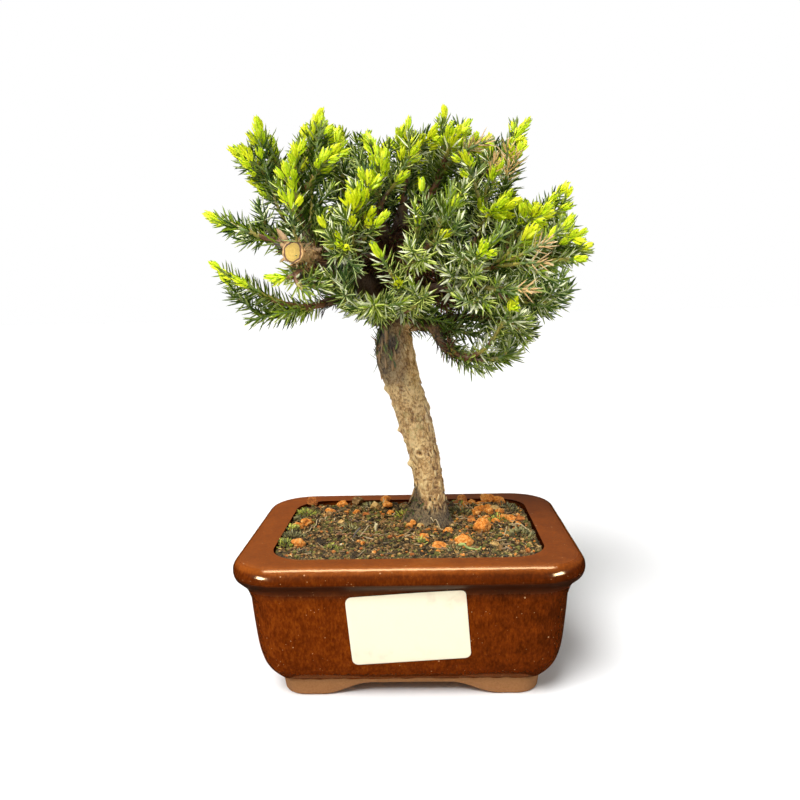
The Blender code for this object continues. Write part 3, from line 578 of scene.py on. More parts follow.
def trunkSurface(heights, turns):
    # centre line and reach: radius at the stations, with root flare and ridge standing out
    def lobe(direction):
        # 1 in a direction, falling off as the cubed cosine of the turn away from it
        return np.clip(np.cos(turns - math.radians(direction)), 0, 1) ** 3

    stations = throughPoints(trunk["stations"], 8)
    x = np.interp(heights, stations[:, 1], stations[:, 0])
    reach = np.interp(heights, stations[:, 1], stations[:, 2])
    for direction, depth, top in trunk["roots"]:
        fade = np.clip(1 - (heights - trunk["stations"][0][1]) / top, 0, 1.1)
        reach = reach + depth * fade ** 2 * lobe(direction)
    direction, depth, middle, half = trunk["ridge"]
    fade = np.clip(1 - ((heights - middle) / half) ** 2, 0, 1)
    return x, reach + depth * fade * lobe(direction)


def onTrunk(heights, turns, lift):
    # places at a lift over the trunk's bark, and the level directions out from it
    x, reach = trunkSurface(heights, turns)
    out = np.stack([np.cos(turns), np.sin(turns), 0 * turns], 1)
    centre = np.stack([x, np.full_like(x, trunk["y"]), heights], 1)
    return centre + out * (reach + lift)[:, None], out


def makeTrunk():
    # level rings round the leaning centre line, each point at its reach plus the relief; a knob
    # is a bell curve over the bark, and a healed scar a ring of one round a dent
    heights = np.linspace(trunk["foot"], trunk["stations"][-1][1] + 0.5, trunk["rows"])[:, None]
    turns = np.linspace(0, 2 * math.pi, trunk["columns"], endpoint=False)[None, :]
    x, reach = trunkSurface(heights, turns)
    out = np.stack([np.cos(turns) + 0 * heights, np.sin(turns) + 0 * heights, 0 * reach], -1)
    centre = np.stack([x + 0 * turns, np.full_like(reach, trunk["y"]), heights + 0 * turns], -1)
    flat = (centre + out * reach[..., None]).reshape(-1, 3)
    relief = barkRelief(flat, 5).reshape(reach.shape) * np.clip(reach / 6, 0.3, 1)
    for kind in ("knobs", "rings"):
        for direction, height, radius, depth in trunk[kind]:
            turn = (turns - math.radians(direction) + math.pi) % (2 * math.pi) - math.pi
            away = np.hypot(turn * reach, heights - height) / radius
            lump = np.exp(-away ** 2) if kind == "knobs" else (
                np.exp(-((away - 1) / 0.38) ** 2) - 0.7 * np.exp(-(away / 0.5) ** 2))
            relief = relief + depth * lump
    points, faces = closedLoft(centre + out * (reach + relief)[..., None])
    return points, faces, np.concatenate([relief.ravel(), [0, 0]])


def makeBough(number, name):
    # a tapering tube along the bough's curve, wider by a fading collar at its root; the sawn
    # bough's rings slide forward or back along it until the last lies in the cut's plane
    parent, knots, foot, tip = boughs[name]
    thick = foot > 4
    path = throughPoints(knots, 3) if len(knots) > 2 else np.linspace(knots[0], knots[1], 4)
    path = evenPath(evenPath(path, 4.0), 0.55)
    path = evenPath(throughPoints(path[::6], 6), 0.6)
    along = lengthsAlong(path)
    ahead, side, other = framesAlong(path)
    turns = np.linspace(0, 2 * math.pi, 64 if thick else 24, endpoint=False)[None, :, None]
    out = spokes(side[:, None], other[:, None], turns)
    if parent == "trunk":
        inside = trunkSurface(np.array([knots[0][2]]), np.array([0.0]))[1][0]
    else:
        inside = boughs[parent][2]
    radius = foot + (tip - foot) * along / along[-1]
    radius = radius * (1 + 0.5 * np.exp(-np.clip(along - inside * 0.7, 0, None) / 3.0))
    flat = path[:, None] + out * radius[:, None, None]
    relief = barkRelief(flat.reshape(-1, 3), 20 + number).reshape(flat.shape[:2])
    relief = relief * (0.9 if thick else 0.55)
    rings = path[:, None] + out * (radius[:, None] + relief)[..., None]
    if name == sawCut["bough"]:
        facing = unit(np.array(sawCut["facing"]))
        share = np.clip(1 - (along[-1] - along) / sawCut["blend"], 0, 1) ** 2
        offset = (path[-1] - rings) @ facing / (ahead[-1] @ facing)
        gap = (along[-1] - along)[:, None]
        rings = rings + ahead[-1] * ((offset - gap) * share[:, None])[..., None]
    points, faces = closedLoft(rings)
    return points, faces, np.concatenate([relief.ravel(), [0, 0]]), rings[-1]


def spot(place, middle, reach):
    # 1 inside a longish patch round a point of the bark, fading to 0 at its ragged edge
    ragged = (place.noise(1.6, 3.0, 0.6, 6.0) - 0.5) * reach * 0.8 * mm
    return 1 - (place.away(middle, 0.6) + ragged).ramp(0.6 * reach * mm, 0.9 * reach * mm)


patches = (               # on the bark: middle, reach, darkest and palest colour
    ((-10.5, 7, 145), 4.6, (0.42, 0.17, 0.048), (0.88, 0.52, 0.20)),
    ((-9, 4.5, 138), 3.0, (0.016, 0.010, 0.005), (0.085, 0.048, 0.020)),
    ((-5.3, 2, 148), 3.4, (0.020, 0.013, 0.006), (0.12, 0.070, 0.030)),
    ((3, 5, 143), 2.2, (0.62, 0.36, 0.14), (0.95, 0.72, 0.38)),
    ((10, 5.5, 114), 2.4, (0.70, 0.46, 0.20), (0.98, 0.82, 0.50)),
    ((22, -12, 144), 4.2, (0.42, 0.22, 0.035), (0.85, 0.60, 0.12)),
    ((-2.8, 9, 106.5), 1.8, (0.60, 0.27, 0.11), (0.90, 0.55, 0.30)))


def bark(place):
    # tan flaking bark with dark splits and pale flecks, darker where it lies deeper with painted shade
    # in its hollows, a little green halfway up; over it lie the soil's stain at the foot, moss and
    # dark bark towards the crown, dark reddish boughs inside it deepened by painted shade, the
    # patches, and orange bark round the sawn end
    def over(skin, mask, share, dark, pale, low=0.35, high=0.65):
        # a layer of its own two colours, mixed by the bark's fine grain
        return (mask * share).tint(skin, fine.ramp(low, high).tint(dark, pale))

    x, height = place.part(0), place.part(2)
    depth = place.node("Attribute", {"attribute_name": "depth"}, output="Fac")
    drawn = place.drawnUp(0.6)
    fine = drawn.noise(0.8, 5.0, 0.72)
    broad = drawn.noise(6.0, 3.0, 0.6, 4.0)
    # darker where the bark lies deeper and paler where it stands out: the splits' own dark, with
    # painted shade in the hollows
    tone = depth * 0.6 + (fine - 0.5) * 2.1 + (broad - 0.5) * 0.7 + 0.60
    skin = tone.tints((0.08, (0.09, 0.038, 0.011)), (0.30, (0.35, 0.18, 0.052)),
                      (0.54, (0.62, 0.365, 0.118)), (0.86, (0.90, 0.66, 0.30)))
    speck = place.noise(1.3, 2.0, 0.5, 7.0)
    skin = (speck.ramp(0.54, 0.62) * 0.55).tint(skin, (0.27, 0.13, 0.040))
    skin = (speck.ramp(0.46, 0.38) * 0.5).tint(skin, (0.90, 0.66, 0.33))
    halfway = height.ramp(95 * mm, 104 * mm) * (1 - height.ramp(110 * mm, 122 * mm))
    moss = place.noise(5.0, 3.0, 0.6, 9.0).ramp(0.52, 0.66) * halfway
    skin = (moss * 0.45).tint(skin, (0.26, 0.24, 0.05))

    stain = height + (broad - 0.5) * 14 * mm       # height with a wavy edge
    rootSide = 1 - x.ramp(4 * mm, 9 * mm)
    wet = 1 - (stain - rootSide * 9 * mm).ramp(66 * mm, 73 * mm)
    skin = over(skin, wet, 0.92, (0.014, 0.009, 0.004), (0.19, 0.125, 0.050), 0.40, 0.62)
    fibres = (1 - x.ramp(-8 * mm, -3 * mm)) * stain.ramp(132 * mm, 142 * mm)
    fibres = fibres * (1 - stain.ramp(166 * mm, 172 * mm))
    skin = over(skin, fibres, 0.85, (0.030, 0.024, 0.006), (0.27, 0.21, 0.050), 0.38, 0.62)
    grey = stain.ramp(126 * mm, 134 * mm) * (1 - x.ramp(-2 * mm, 3 * mm))
    skin = over(skin, grey, 0.6, (0.036, 0.021, 0.009), (0.26, 0.165, 0.075), 0.36, 0.64)
    upper = x.ramp(3 * mm, 6 * mm) * height.ramp(146 * mm, 150 * mm)
    lower = x.ramp(8 * mm, 13 * mm) * height.ramp(130 * mm, 136 * mm)
    skin = over(skin, upper + lower * (1 - upper), 0.9, (0.036, 0.017, 0.008), (0.27, 0.135, 0.050))
    # dark reddish bark towards and inside the crown, deepened by painted shade
    inner = stain.ramp(150 * mm, 172 * mm)
    skin = (inner * 0.80).tint(skin, fine.tint((0.030, 0.013, 0.007), (0.16, 0.075, 0.035)))
    for middle, reach, dark, pale in patches:
        skin = over(skin, spot(place, middle, reach), 0.85, dark, pale)
    near = 1 - place.away(sawCut["near"]).ramp(7 * mm, 17 * mm)
    skin = over(skin, near, 0.92, (0.40, 0.17, 0.045), (0.94, 0.62, 0.26), 0.32, 0.66)
    return {"Base Color": skin, "Roughness": 0.82 + fine * 0.15,
            "Normal": (fine + drawn.noise(0.35, 3.0, 0.6, 2.0) * 0.5).bump(0.35)}


def cutWood(place):
    # pale yellow wood with faint growth rings, then a dark ring of inner bark and the bark's edge
    wobble = place.noise(3.0, 3.0, 0.5) * 2.6 - 1.0
    away = place.away(sawCut["middle"]) * 1000
    waves = away * 5.2 + wobble * 4
    rings = waves.maths("SINE", waves) * 0.5 + 0.5
    grain = place.noise(0.5, 4.0, 0.6, 3.0)
    wood = (rings * 0.16 + grain * 1.2 - 0.15).tint((0.48, 0.25, 0.030), (0.86, 0.62, 0.125))
    wood = (away + wobble).ramp(3.7, 4.0).tint(wood, (0.16, 0.055, 0.012))
    wood = (away + wobble).ramp(4.5, 4.8).tint(wood, (0.78, 0.46, 0.17))
    return {"Base Color": wood, "Roughness": 0.7 + grain * 0.2,
            "Normal": (rings * 0.2 + grain).bump(0.25)}


def makeLimbs():
    # the trunk, all boughs as one piece, and the sawn face
    skin = newMaterial("flakyBark", {}, bark)
    points, faces, relief = makeTrunk()
    piece = newPiece("bark_trunk", points, faces, [skin], "bark", depth=relief)
    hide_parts("trunk")
    parts, depths = [], []
    for number, name in enumerate(boughs):
        points, faces, relief, lastRing = makeBough(number, name)
        parts.append((points, faces))
        depths.append(relief)
        if name == sawCut["bough"]:
            face = lastRing
    points, faces = joinMeshes(parts)
    piece = newPiece("bark_boughs", points, faces, [skin], "bark", depth=np.concatenate(depths))
    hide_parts(*boughs)

    # the sawn face: rings drawn in from the bark's edge, set a little proud of the bough's end
    middle = face.mean(0)
    sawCut["middle"] = middle
    facing = unit(np.array(sawCut["facing"]))
    shares = np.array([0.80, 0.95, 0.93, 0.80, 0.6, 0.4, 0.2])[:, None, None]
    lifts = np.array([-1.2, -0.6, 0.25, 0.34, 0.36, 0.38, 0.38])[:, None, None]
    rings = middle + (face - middle)[None] * shares + facing * lifts
    points, faces = closedLoft(rings)
    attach(newPiece("sawn_end", points, faces, [newMaterial("sawnWood", {}, cutWood)], "bark",
                     sharp=50), "root")


makeLimbs()
print("trunk and", len(boughs), "boughs in bark")


# Foliage

masses = {                # what each mass grows from, then the tips of its leading shoots
    "foliage_left_tuft": ("bough_left_out", ((-60, -20, 247), (-71, -17, 236))),
    "foliage_left_spire": ("bough_left_up", ((-32.5, -14, 251), (-44.6, -32, 220), (-24, -25, 234))),
    "foliage_left_reach": ("bough_left_side", ((-85.5, -16, 208.5), (-67, -32, 200))),
    "foliage_left_small": ("bough_left_under", ((-55.5, -41, 180), (-36, -46, 172))),
    "foliage_left_low": ("bough_left_low", ((-85, -14, 188), (-62, -8, 163))),
    "foliage_front_left": ("bough_front_left", ((-18.5, -46, 203), (-30, -42, 192), (-10, -36, 207))),
    "foliage_front_mid": ("bough_front", ((26, -38, 212), (8, -36, 207), (20, -42, 196))),
    "foliage_front_low": ((163, 288), ((11, -42, 172), (-2, -42, 178))),
    "foliage_front_low_left": ((163, 243), ((-24, -37, 174), (-9, -37, 167))),
    "foliage_middle": ("bough_middle", ((-12, -18, 228), (-6, -6, 236), (4, -24, 222))),
    "foliage_crown_left": ("bough_crown_left", ((-27.5, 10, 249), (-15, 22, 249), (-36, 24, 238))),
    "foliage_crown_top": ("trunk", ((4, 15, 253), (10, -8, 240))),
    "foliage_crown_peak": ("bough_crown_right", ((19.6, 2, 254.6), (32, 10, 250), (24, -16, 238))),
    "foliage_top_right": ("bough_right_high", ((59, 8, 249), (42, 24, 246), (50, -4, 238))),
    "foliage_right_inner": ("bough_right_mid", ((47, -2, 216), (34, -16, 212))),
    "foliage_right_crest": ("bough_right_crest", ((60, -14, 209), (75, 2, 219.5), (62, 10, 212))),
    "foliage_right_reach": ("bough_right", ((86.5, 2, 192), (78, 16, 203), (81, -12, 185))),
    "foliage_right_front": ("bough_right_front", ((33, -50, 191), (46, -47, 170), (50, -34, 186))),
    "foliage_right_low": ("bough_right_down", ((74, -10, 167.4), (68, 2, 160))),
    "foliage_low_right": ("bough_right_under", ((60, -8, 151), (52, 6, 148))),
    "foliage_hanging": ("bough_hanging", ((49, -22, 145.6), (38, -30, 152))),
    "foliage_back_left": ("bough_back_left", ((-56, 42, 206), (-48, 46, 182), (-62, 22, 194))),
    "foliage_back_crown": ("bough_back", ((-26, 50, 236), (-6, 54, 224))),
    "foliage_back_right": ("bough_back_right", ((62, 44, 196), (44, 54, 184), (60, 34, 208))),
    "foliage_back_top": ("bough_back_high", ((14, 40, 245), (2, 48, 236))),
    "foliage_back_rise": ("bough_back_rise", ((48, 42, 226), (34, 52, 214))),
    "foliage_back_under": ("bough_back_low", ((62, 36, 163), (50, 46, 158))),
    "foliage_back_low": ((160, 95), ((-14, 52, 174), (12, 48, 168))),
}

frontTips = {             # ends of further shoots that show from the front, by their colour
    "lime": (
        (-64, -20, 241), (-56, -12, 241), (-73, -16, 236), (-66, -26, 235), (-67, -24, 230),
        (-48, -26, 228), (-44, -22, 236), (-43, -42, 214), (-41, -8, 246), (-31, -10, 247),
        (-27, -4, 244), (-23, -12, 238), (-28, -26, 232), (-15, 4, 244), (-11, -2, 238),
        (-6, -24, 228), (-12, -34, 222), (-16, -38, 217), (-24, -50, 192), (-11, -50, 192),
        (-6, -42, 202), (-1, 4, 246), (9, -22, 235), (22, -8, 244), (16, -14, 241), (31, 6, 246),
        (27, -2, 245), (26, -26, 230), (39, -6, 238), (44, -14, 228), (56, 2, 246), (53, -8, 236),
        (48, -14, 215), (43, -24, 209), (40, -30, 206), (48, -26, 208), (54, -22, 208),
        (58, -26, 206), (69, -4, 214), (65, -16, 209), (77, 2, 210), (78, -6, 198), (84, 4, 199),
        (34, -46, 191), (46, -44, 170), (-82, -16, 206), (-81, -14, 184), (-73, -24, 181),
        (-52, -44, 177)),
    "star": ((-19, -42, 212), (55, -38, 197)),
    "pale": ((-51, -30, 220), (23, -38, 214), (31, -48, 179), (36, -44, 165), (25, -42, 208),
             (-11, -46, 168), (38, -44, 194)),
    "green": (
        (47, -10, 220), (86, 2, 189), (70, -20, 170), (66, -22, 164), (56, -16, 151),
        (48, -18, 145), (11, -46, 185), (-70, -16, 161), (-57, -20, 164)),
    "dried": (
        (60, -47, 191), (59, -48, 182), (54, -48, 172), (40, -14, 236), (46, -12, 236),
        (52, -8, 233), (35, -10, 236), (47, -14, 227), (41, -18, 230)),
    "dark": (
        (22, -6, 158), (26, -10, 154), (34, -10, 153), (30, -4, 160), (40, -8, 157), (42, -14, 149),
        (29, -14, 139), (35, -18, 136), (40, -20, 138), (16, 0, 163), (23, -4, 166), (48, -10, 155)),
}

plumes = {                # long shoots whose curve shows: points from the bough out, then their buds
    "lowLeft": (((-37, -6, 168), (-46, -8, 165), (-56, -10, 163), (-65, -12, 165),
                 (-74, -13, 174), (-81, -14, 184)), 1),
    "reach": (((-49, -26, 193), (-55, -22, 199), (-65, -20, 200), (-74, -18, 202),
               (-85, -16, 208)), 0),
    "spire": (((-40, -22, 196), (-38, -21, 207), (-37, -18, 225), (-34, -15, 240),
               (-33, -14, 250)), 4),
    "tuft": (((-36, -11, 194), (-50, -17, 204), (-56, -19, 222), (-59, -19, 236),
              (-60, -20, 247)), 4),
}

crownOutline = (          # how far shoots may show from the front, at the depth of the middle
    (-38, 170), (-48, 163), (-66, 162), (-78, 170), (-86, 184), (-81, 181), (-67, 170), (-48, 169),
    (-39, 175), (-52, 178), (-60, 177), (-51, 184), (-47, 187), (-54, 192), (-59, 198), (-70, 196),
    (-81, 199), (-87, 209), (-77, 206), (-64, 204), (-69, 216), (-70, 226), (-75, 238), (-69, 239),
    (-64, 249), (-60, 243), (-59, 236), (-53, 231), (-47, 240), (-42, 249), (-37, 252), (-32, 249),
    (-26, 245), (-15, 242), (-9, 237), (-2, 244), (4, 248), (9, 242), (18, 251), (29, 246),
    (37, 241), (45, 240), (50, 247), (57, 246), (56, 236), (46, 227), (36, 225), (35, 213),
    (49, 217), (58, 211), (65, 207), (70, 216), (76, 218), (79, 210), (78, 200), (84, 198),
    (84, 188), (78, 181), (75, 166), (64, 161), (58, 148), (49, 140), (36, 140), (23, 145),
    (15, 153), (4, 157), (-13, 161), (-27, 164), (-32, 173))
openGaps = (              # sky between the shoots, and the sawn end: X, height, radius
    (-18, 175, 1.5), (11, 162, 2.5), (31, 156, 1.5), (29, 151, 1.5), (38, 148, 2.0),
    (-55, 210, 2.0), (-51, 191, 4.5), (42, 219, 2.5))

windows = (               # where the front shoots part and show the dark inside, given alike
    (-7, 194, 4.5), (-10, 186, 4.5), (-12, 179, 4.5), (10, 186, 2.0), (11, 175, 2.0),
    (23, 162, 3.5), (16, 159, 3.5), (0, 203, 1.5))

foliage = {               # a pair of lengths is for the foot and the tip of what they grow from
    "golden": 137.5, "apart": 5.2, "close": 3.1,                   # turn between side shoots, room
    "sideStep": 20.0, "sideAngle": 46.0, "sideRise": 0.45, "sideLengths": (21.0, 11.0),
    "twigStep": 8.5, "twigLengths": (22.0, 13.0), "fineLengths": (15.0, 9.0),
    "offLimb": 1.2, "margin": 4.0, "frontLength": 28.0, "before": 3.2,
    "middle": (0, 0, 196), "reach": (84, 52, 56), "box": ((-84, -51, 128), (84, 53, 252)),
    "budFirst": 6.5, "budApart": 2.2, "budOnward": (5.2, 7.4), "budAside": (4.0, 5.6),
    "stems": ((1.95, 0.7), (0.95, 0.5), (0.7, 0.42), (0.55, 0.38)),   # radii by level
    "stemSides": (8, 6, 5, 5),
    "stemBrown": ((0.45, 0.7), (0.12, 0.5), (0.0, 0.35), (0.0, 0.2)),  # ends of brown, of yellow
}

needle = {                # of a set of three numbers: at the start, how much more, how soon
    "most": 9000,                                  # in one piece
    "first": 3.2, "whorlStep": 1.8, "budStep": 1.15, "budLength": (7.0, 9.5),
    "length": 7.2, "width": 1.02, "budWidth": 1.4, "starWidth": 2.0,
    "lean": (20, 44, 3.6), "limeLean": (44, 20, 5), "starLean": (12, 50, 4.5),
    "inBud": (3.7, 1.4, 4), "inStar": (4.2, 4.2, 3),
    # the shade look, and less so the deep one, are painted shade, dealt most in the crown's middle
    "greens": {           # share in the middle of the crown, and its growth towards the outside
        "shade": (1.7, -2.4), "deep": (0.50, -0.2), "mid": (0.10, 0.22), "blue": (0.16, 0.0),
        "fresh": (-0.04, 0.16)},
    "rows": ((0.0, 0.50, 0.40), (0.36, 1.0, 0.52), (0.76, 0.70, 0.34)),   # share, width, thickness
}

needleGroups = {          # the looks of each set of pieces, and the sides with the paler tint: a pale band and painted highlight
    "green": (("shade", "deep", "mid", "blue", "fresh"), (0,)), "silver": (("silver",), (0, 1)),
    "lime": (("lime", "yellow"), (0, 3)), "dried": (("dried", "dead"), (0,)),
}

needleLooks = {           # under side, upper side with its pale band and painted highlight, roughness
    # shade is painted shade, for the inner needles
    "shade": ((0.016, 0.026, 0.003), (0.12, 0.15, 0.045), 0.45),
    "deep": ((0.040, 0.078, 0.004), (0.69, 0.76, 0.20), 0.42),
    "mid": ((0.092, 0.150, 0.006), (0.84, 0.90, 0.24), 0.42),
    "blue": ((0.046, 0.096, 0.016), (0.71, 0.82, 0.32), 0.40),
    "fresh": ((0.25, 0.36, 0.014), (0.78, 0.84, 0.24), 0.42),
    # pale waxy needles with a painted highlight
    "silver": ((0.26, 0.33, 0.08), (0.97, 0.99, 0.66), 0.42),
    "lime": ((0.54, 0.74, 0.010), (0.88, 0.97, 0.035), 0.40),
    "yellow": ((0.70, 0.80, 0.010), (0.94, 0.97, 0.030), 0.40),
    "dried": ((0.78, 0.50, 0.22), (0.98, 0.82, 0.50), 0.60),
    "dead": ((0.080, 0.030, 0.012), (0.24, 0.115, 0.055), 0.70),
}


def bentPath(start, ahead, end, steps):
    # leaves the start in a direction and bends over to the end: one quadratic Bezier
    t = np.linspace(0, 1, steps + 1)[:, None]
    handle = start + ahead * np.linalg.norm(end - start) * 0.42
    return start * (1 - t) ** 2 + handle * 2 * t * (1 - t) + end * t * t


def stemStart(carrier):
    # where a mass's stem starts, and its first direction
    if carrier == "trunk":
        x, height, _ = trunk["stations"][-1]
        return np.array([x, trunk["y"], height]), np.array([0, 0, 1.0])
    if isinstance(carrier, tuple):
        height, turn = carrier[0], math.radians(carrier[1])
        x, reach = trunkSurface(np.array([float(height)]), np.array([turn]))
        out = np.array([math.cos(turn), math.sin(turn), 0])
        return np.array([x[0], trunk["y"], height]) + out * (reach[0] - 0.6), out
    path = throughPoints(boughs[carrier][1], 3)
    ahead = unit(path[-1] - path[-2])
    return path[-1] - ahead * 0.8, ahead


def leadingPaths(name):
    # the first is the mass's stem, the others fork from it towards their tips
    carrier, tips = masses[name]
    start, ahead = stemStart(carrier)
    stem = bentPath(start, ahead, np.array(tips[0], float), 12)
    paths = [stem]
    for number, tip in enumerate(tips[1:]):
        fork = 2 + 2 * number
        ahead = unit(unit(stem[fork + 1] - stem[fork]) + unit(np.array(tip) - stem[fork]))
        paths.append(bentPath(stem[fork], ahead, np.array(tip, float), 12))
    return paths


def fromFront(points):
    # where points show in the upright plane through the middle, as the camera sees them
    eye = np.array(view["position"])
    return (eye + (points - eye) * (eye[1] / (eye[1] - points[:, 1]))[:, None])[:, [0, 2]]


def inOutline(points):
    # even-odd rule over the outline's edges, clear of the open gaps and not before a window
    seen = fromFront(points)[:, None]
    corners = np.array(crownOutline, float)
    x0, z0 = corners.T
    x1, z1 = np.roll(corners, -1, 0).T
    crosses = ((z0 > seen[..., 1]) != (z1 > seen[..., 1]))
    crosses &= seen[..., 0] < (x1 - x0) * (seen[..., 1] - z0) / np.where(z1 == z0, 1, z1 - z0) + x0
    gaps = np.array(openGaps)
    toGaps = np.linalg.norm(seen - gaps[:, :2], axis=2) - gaps[:, 2]
    toWindows = np.linalg.norm(seen - np.array(windows)[:, :2], axis=2) - np.array(windows)[:, 2]
    behind = (toWindows.min(1) > foliage["margin"]) | (points[:, 1] > -12)
    return (crosses.sum(1) % 2 == 1) & (toGaps.min(1) > foliage["margin"]) & behind


class Crown:
    # the shoots grown so far, and whether there is room for another

    def __init__(self):
        # the limbs are kept as points along their middles, each with its radius
        self.shoots = []
        self.points = self.shown = np.zeros((0, 3))
        self.random = np.random.default_rng(7)
        limbs, radii = [], []
        for _, knots, foot, tip in boughs.values():
            path = evenPath(throughPoints(knots, 3), 1.5)
            limbs.append(path)
            radii.append(np.linspace(foot, tip, len(path)))
        heights = np.linspace(60, 212, 90)
        stations = np.array(trunk["stations"])
        x = np.interp(heights, stations[:, 1], stations[:, 0])
        limbs.append(np.stack([x, np.full(90, trunk["y"]), heights], 1))
        radii.append(np.interp(heights, stations[:, 1], stations[:, 2]))
        self.limbs, self.radii = np.concatenate(limbs), np.concatenate(radii)

    def add(self, path, level, look):
        # levels run from 0 for leading shoots to 3 for the finest
        self.shoots.append({"path": path, "level": level, "look": look})
        self.points = np.concatenate([self.points, evenPath(path, 1.5)])

    def paths(self, level):
        # of all shoots of one level
        return [shoot["path"] for shoot in self.shoots if shoot["level"] == level]

    def show(self, path):
        # nothing that grows later may cross this shoot between it and the camera
        self.shown = np.concatenate([self.shown, evenPath(path, 2.0)])

    def room(self, path, apart):
        # clear of the limbs, of the other shoots beyond its own foot, of the open gaps, and of
        # the view to the shoots that are to show
        marks = lengthsAlong(path)
        outer = path[marks > 5.5]
        if len(outer) == 0:
            return False
        toLimbs = np.linalg.norm(outer[:, None] - self.limbs[None], axis=2) - self.radii
        if toLimbs.min() < foliage["offLimb"]:
            return False
        low, high = np.array(foliage["box"])
        if (outer < low).any() or (outer > high).any() or not inOutline(outer).all():
            return False
        aside = np.linalg.norm(fromFront(outer)[:, None] - fromFront(self.shown)[None], axis=2)
        if ((aside < foliage["before"]) & (outer[:, None, 1] < self.shown[None, :, 1])).any():
            return False
        near = np.linalg.norm(outer[:, None] - self.points[None], axis=2)
        return near.min() > apart

    def look(self, end, level):
        # lime tips sit on the outside and the top, and the inside stays deep green: the chance of
        # lime grows with the distance from the middle and with height, and falls with the level
        away = np.linalg.norm((end - foliage["middle"]) / foliage["reach"])
        chance = np.clip(2.6 * (away - 0.56), 0, 0.9) * np.clip((end[2] - 172) / 34, 0.04, 1)
        chance *= (1, 1, 0.95, 0.62 if end[2] > 214 or end[0] > 40 else 0.2)[level]
        if end[2] > 212 and abs(end[0]) < 25:
            chance *= 0.75
        if end[2] < 212 and (end[0] < -40 or (end[1] < -12 and end[0] < 35)):
            chance *= 0.3
        if self.random.random() < chance:
            return "lime"
        return "fresh" if self.random.random() < 0.25 * away else "green"


def growSides(crown, paths, step, lengths, level, apart, inset=0.0):
    # side shoots set round each path at the golden turn, rising to the light; where one has
    # no room it is tried further round and shorter; on a bough they start at its bark
    for order, path in enumerate(paths):
        points = evenPath(path, 1.5)
        ahead, side, other = framesAlong(points)
        total = lengthsAlong(points)[-1]
        count = max(1, round((total - 8) / step))
        for number in range(count):
            share = (number + 0.7) / (count + 0.6)
            i = round(share * (len(points) - 1))
            lean = math.radians(foliage["sideAngle"] + crown.random.uniform(-6, 6))
            length = lengths[0] + (lengths[1] - lengths[0]) * share
            for attempt in range(5):
                turn = math.radians(foliage["golden"] * (number + 1) + 47 * attempt) + 1.9 * order
                out = side[i] * math.cos(turn) + other[i] * math.sin(turn)
                start = ahead[i] * math.cos(lean) + out * math.sin(lean)
                reach = length * (1.08 - 0.08 * attempt) * crown.random.uniform(0.88, 1.1)
                foot = points[i] + out * inset
                end = foot + unit(start + np.array([0, 0, foliage["sideRise"]])) * reach
                new = bentPath(foot, start, end, 8)
                if crown.room(new, apart):
                    look = crown.look(end, level)
                    crown.add(new, level, look)
                    if look == "lime" and level < 3:
                        growBuds(crown, 5 - level if end[2] > 212 else 3 - level)
                    break


def growTip(crown, leading, tip, look):
    # a shoot that ends at a given place grows from the leading shoot that points at it best: the
    # cost is how far the distance is from the wanted length, plus a share for facing away
    tip = np.array(tip, float)
    best = None
    for path in leading:
        points = evenPath(path, 2.0)
        ahead = framesAlong(points)[0]
        away = tip - points
        distance = np.linalg.norm(away, axis=1)
        facing = (ahead * away).sum(1) / np.maximum(distance, 0.1)
        cost = abs(distance - foliage["frontLength"]) + 22 * (1 - facing)
        cost += np.where((distance < 9) | (facing < 0.1), 99, 0)
        i = cost.argmin()
        if best is None or cost[i] < best[0]:
            best = (cost[i], points[i], unit(ahead[i] + away[i] / distance[i]))
    cost, start, ahead = best
    if cost < 99:
        crown.add(bentPath(start, ahead, tip, 10), 1, look)
        crown.show(crown.shoots[-1]["path"])
        if look == "lime":
            lowLeft = tip[0] < -60 and tip[2] < 212
            growBuds(crown, 1 if lowLeft else int(np.clip((tip[2] - 160) / 12, 1, 4)))


def growBuds(crown, most):
    # short buds set round the tip of the newest shoot at the golden turn, leaning out from it
    path = evenPath(crown.shoots[-1]["path"], 0.8)
    ahead, side, other = framesAlong(path)
    first = crown.random.uniform(0, 360)
    for number in range(most):
        down = foliage["budFirst"] + foliage["budApart"] * number
        i = max(0, len(path) - 1 - round(down / 0.8))
        turn = math.radians(first + foliage["golden"] * number)
        out = side[i] * math.cos(turn) + other[i] * math.sin(turn)
        onward = path[i] + ahead[i] * crown.random.uniform(*foliage["budOnward"])
        end = onward + out * crown.random.uniform(*foliage["budAside"])
        if inOutline(end[None])[0]:
            crown.add(bentPath(path[i], unit(ahead[i] * 0.5 + out), end, 6), 3, "bud")


def growDead(crown):
    # tufts of dead needles on the bark of the inner boughs and of the trunk's top
    limbs = [(throughPoints(knots, 4), foot) for _, knots, foot, _ in boughs.values()]
    heights = np.linspace(157, 206, 12)
    stations = np.array(trunk["stations"])
    x, radii = (np.interp(heights, stations[:, 1], stations[:, k]) for k in (0, 2))
    limbs += [(np.stack([x, np.full(12, trunk["y"]), heights], 1), radii.mean())] * 4
    for path, radius in limbs:
        points = evenPath(path, 1.1)
        ahead, side, other = framesAlong(points)
        for i in range(3, round(len(points) * 0.85)):
            turn = crown.random.uniform(0, 2 * math.pi)
            out = side[i] * math.cos(turn) + other[i] * math.sin(turn)
            foot = points[i] + out * radius * 0.85
            way = unit(out + ahead[i] * crown.random.uniform(0.1, 0.9))
            end = foot + way * crown.random.uniform(5, 9)
            if inOutline(end[None])[0] and abs(end - sawCut["near"]).max() > 12:
                crown.add(bentPath(foot, out, end, 6), 3, "dead")


def eased(down, start, least, more, reach):
    # from least towards least + more as 1 - exp(-way / reach), the way counted from the start
    return least + more * (1 - np.exp(-np.clip(down - start, 0, None) / reach))


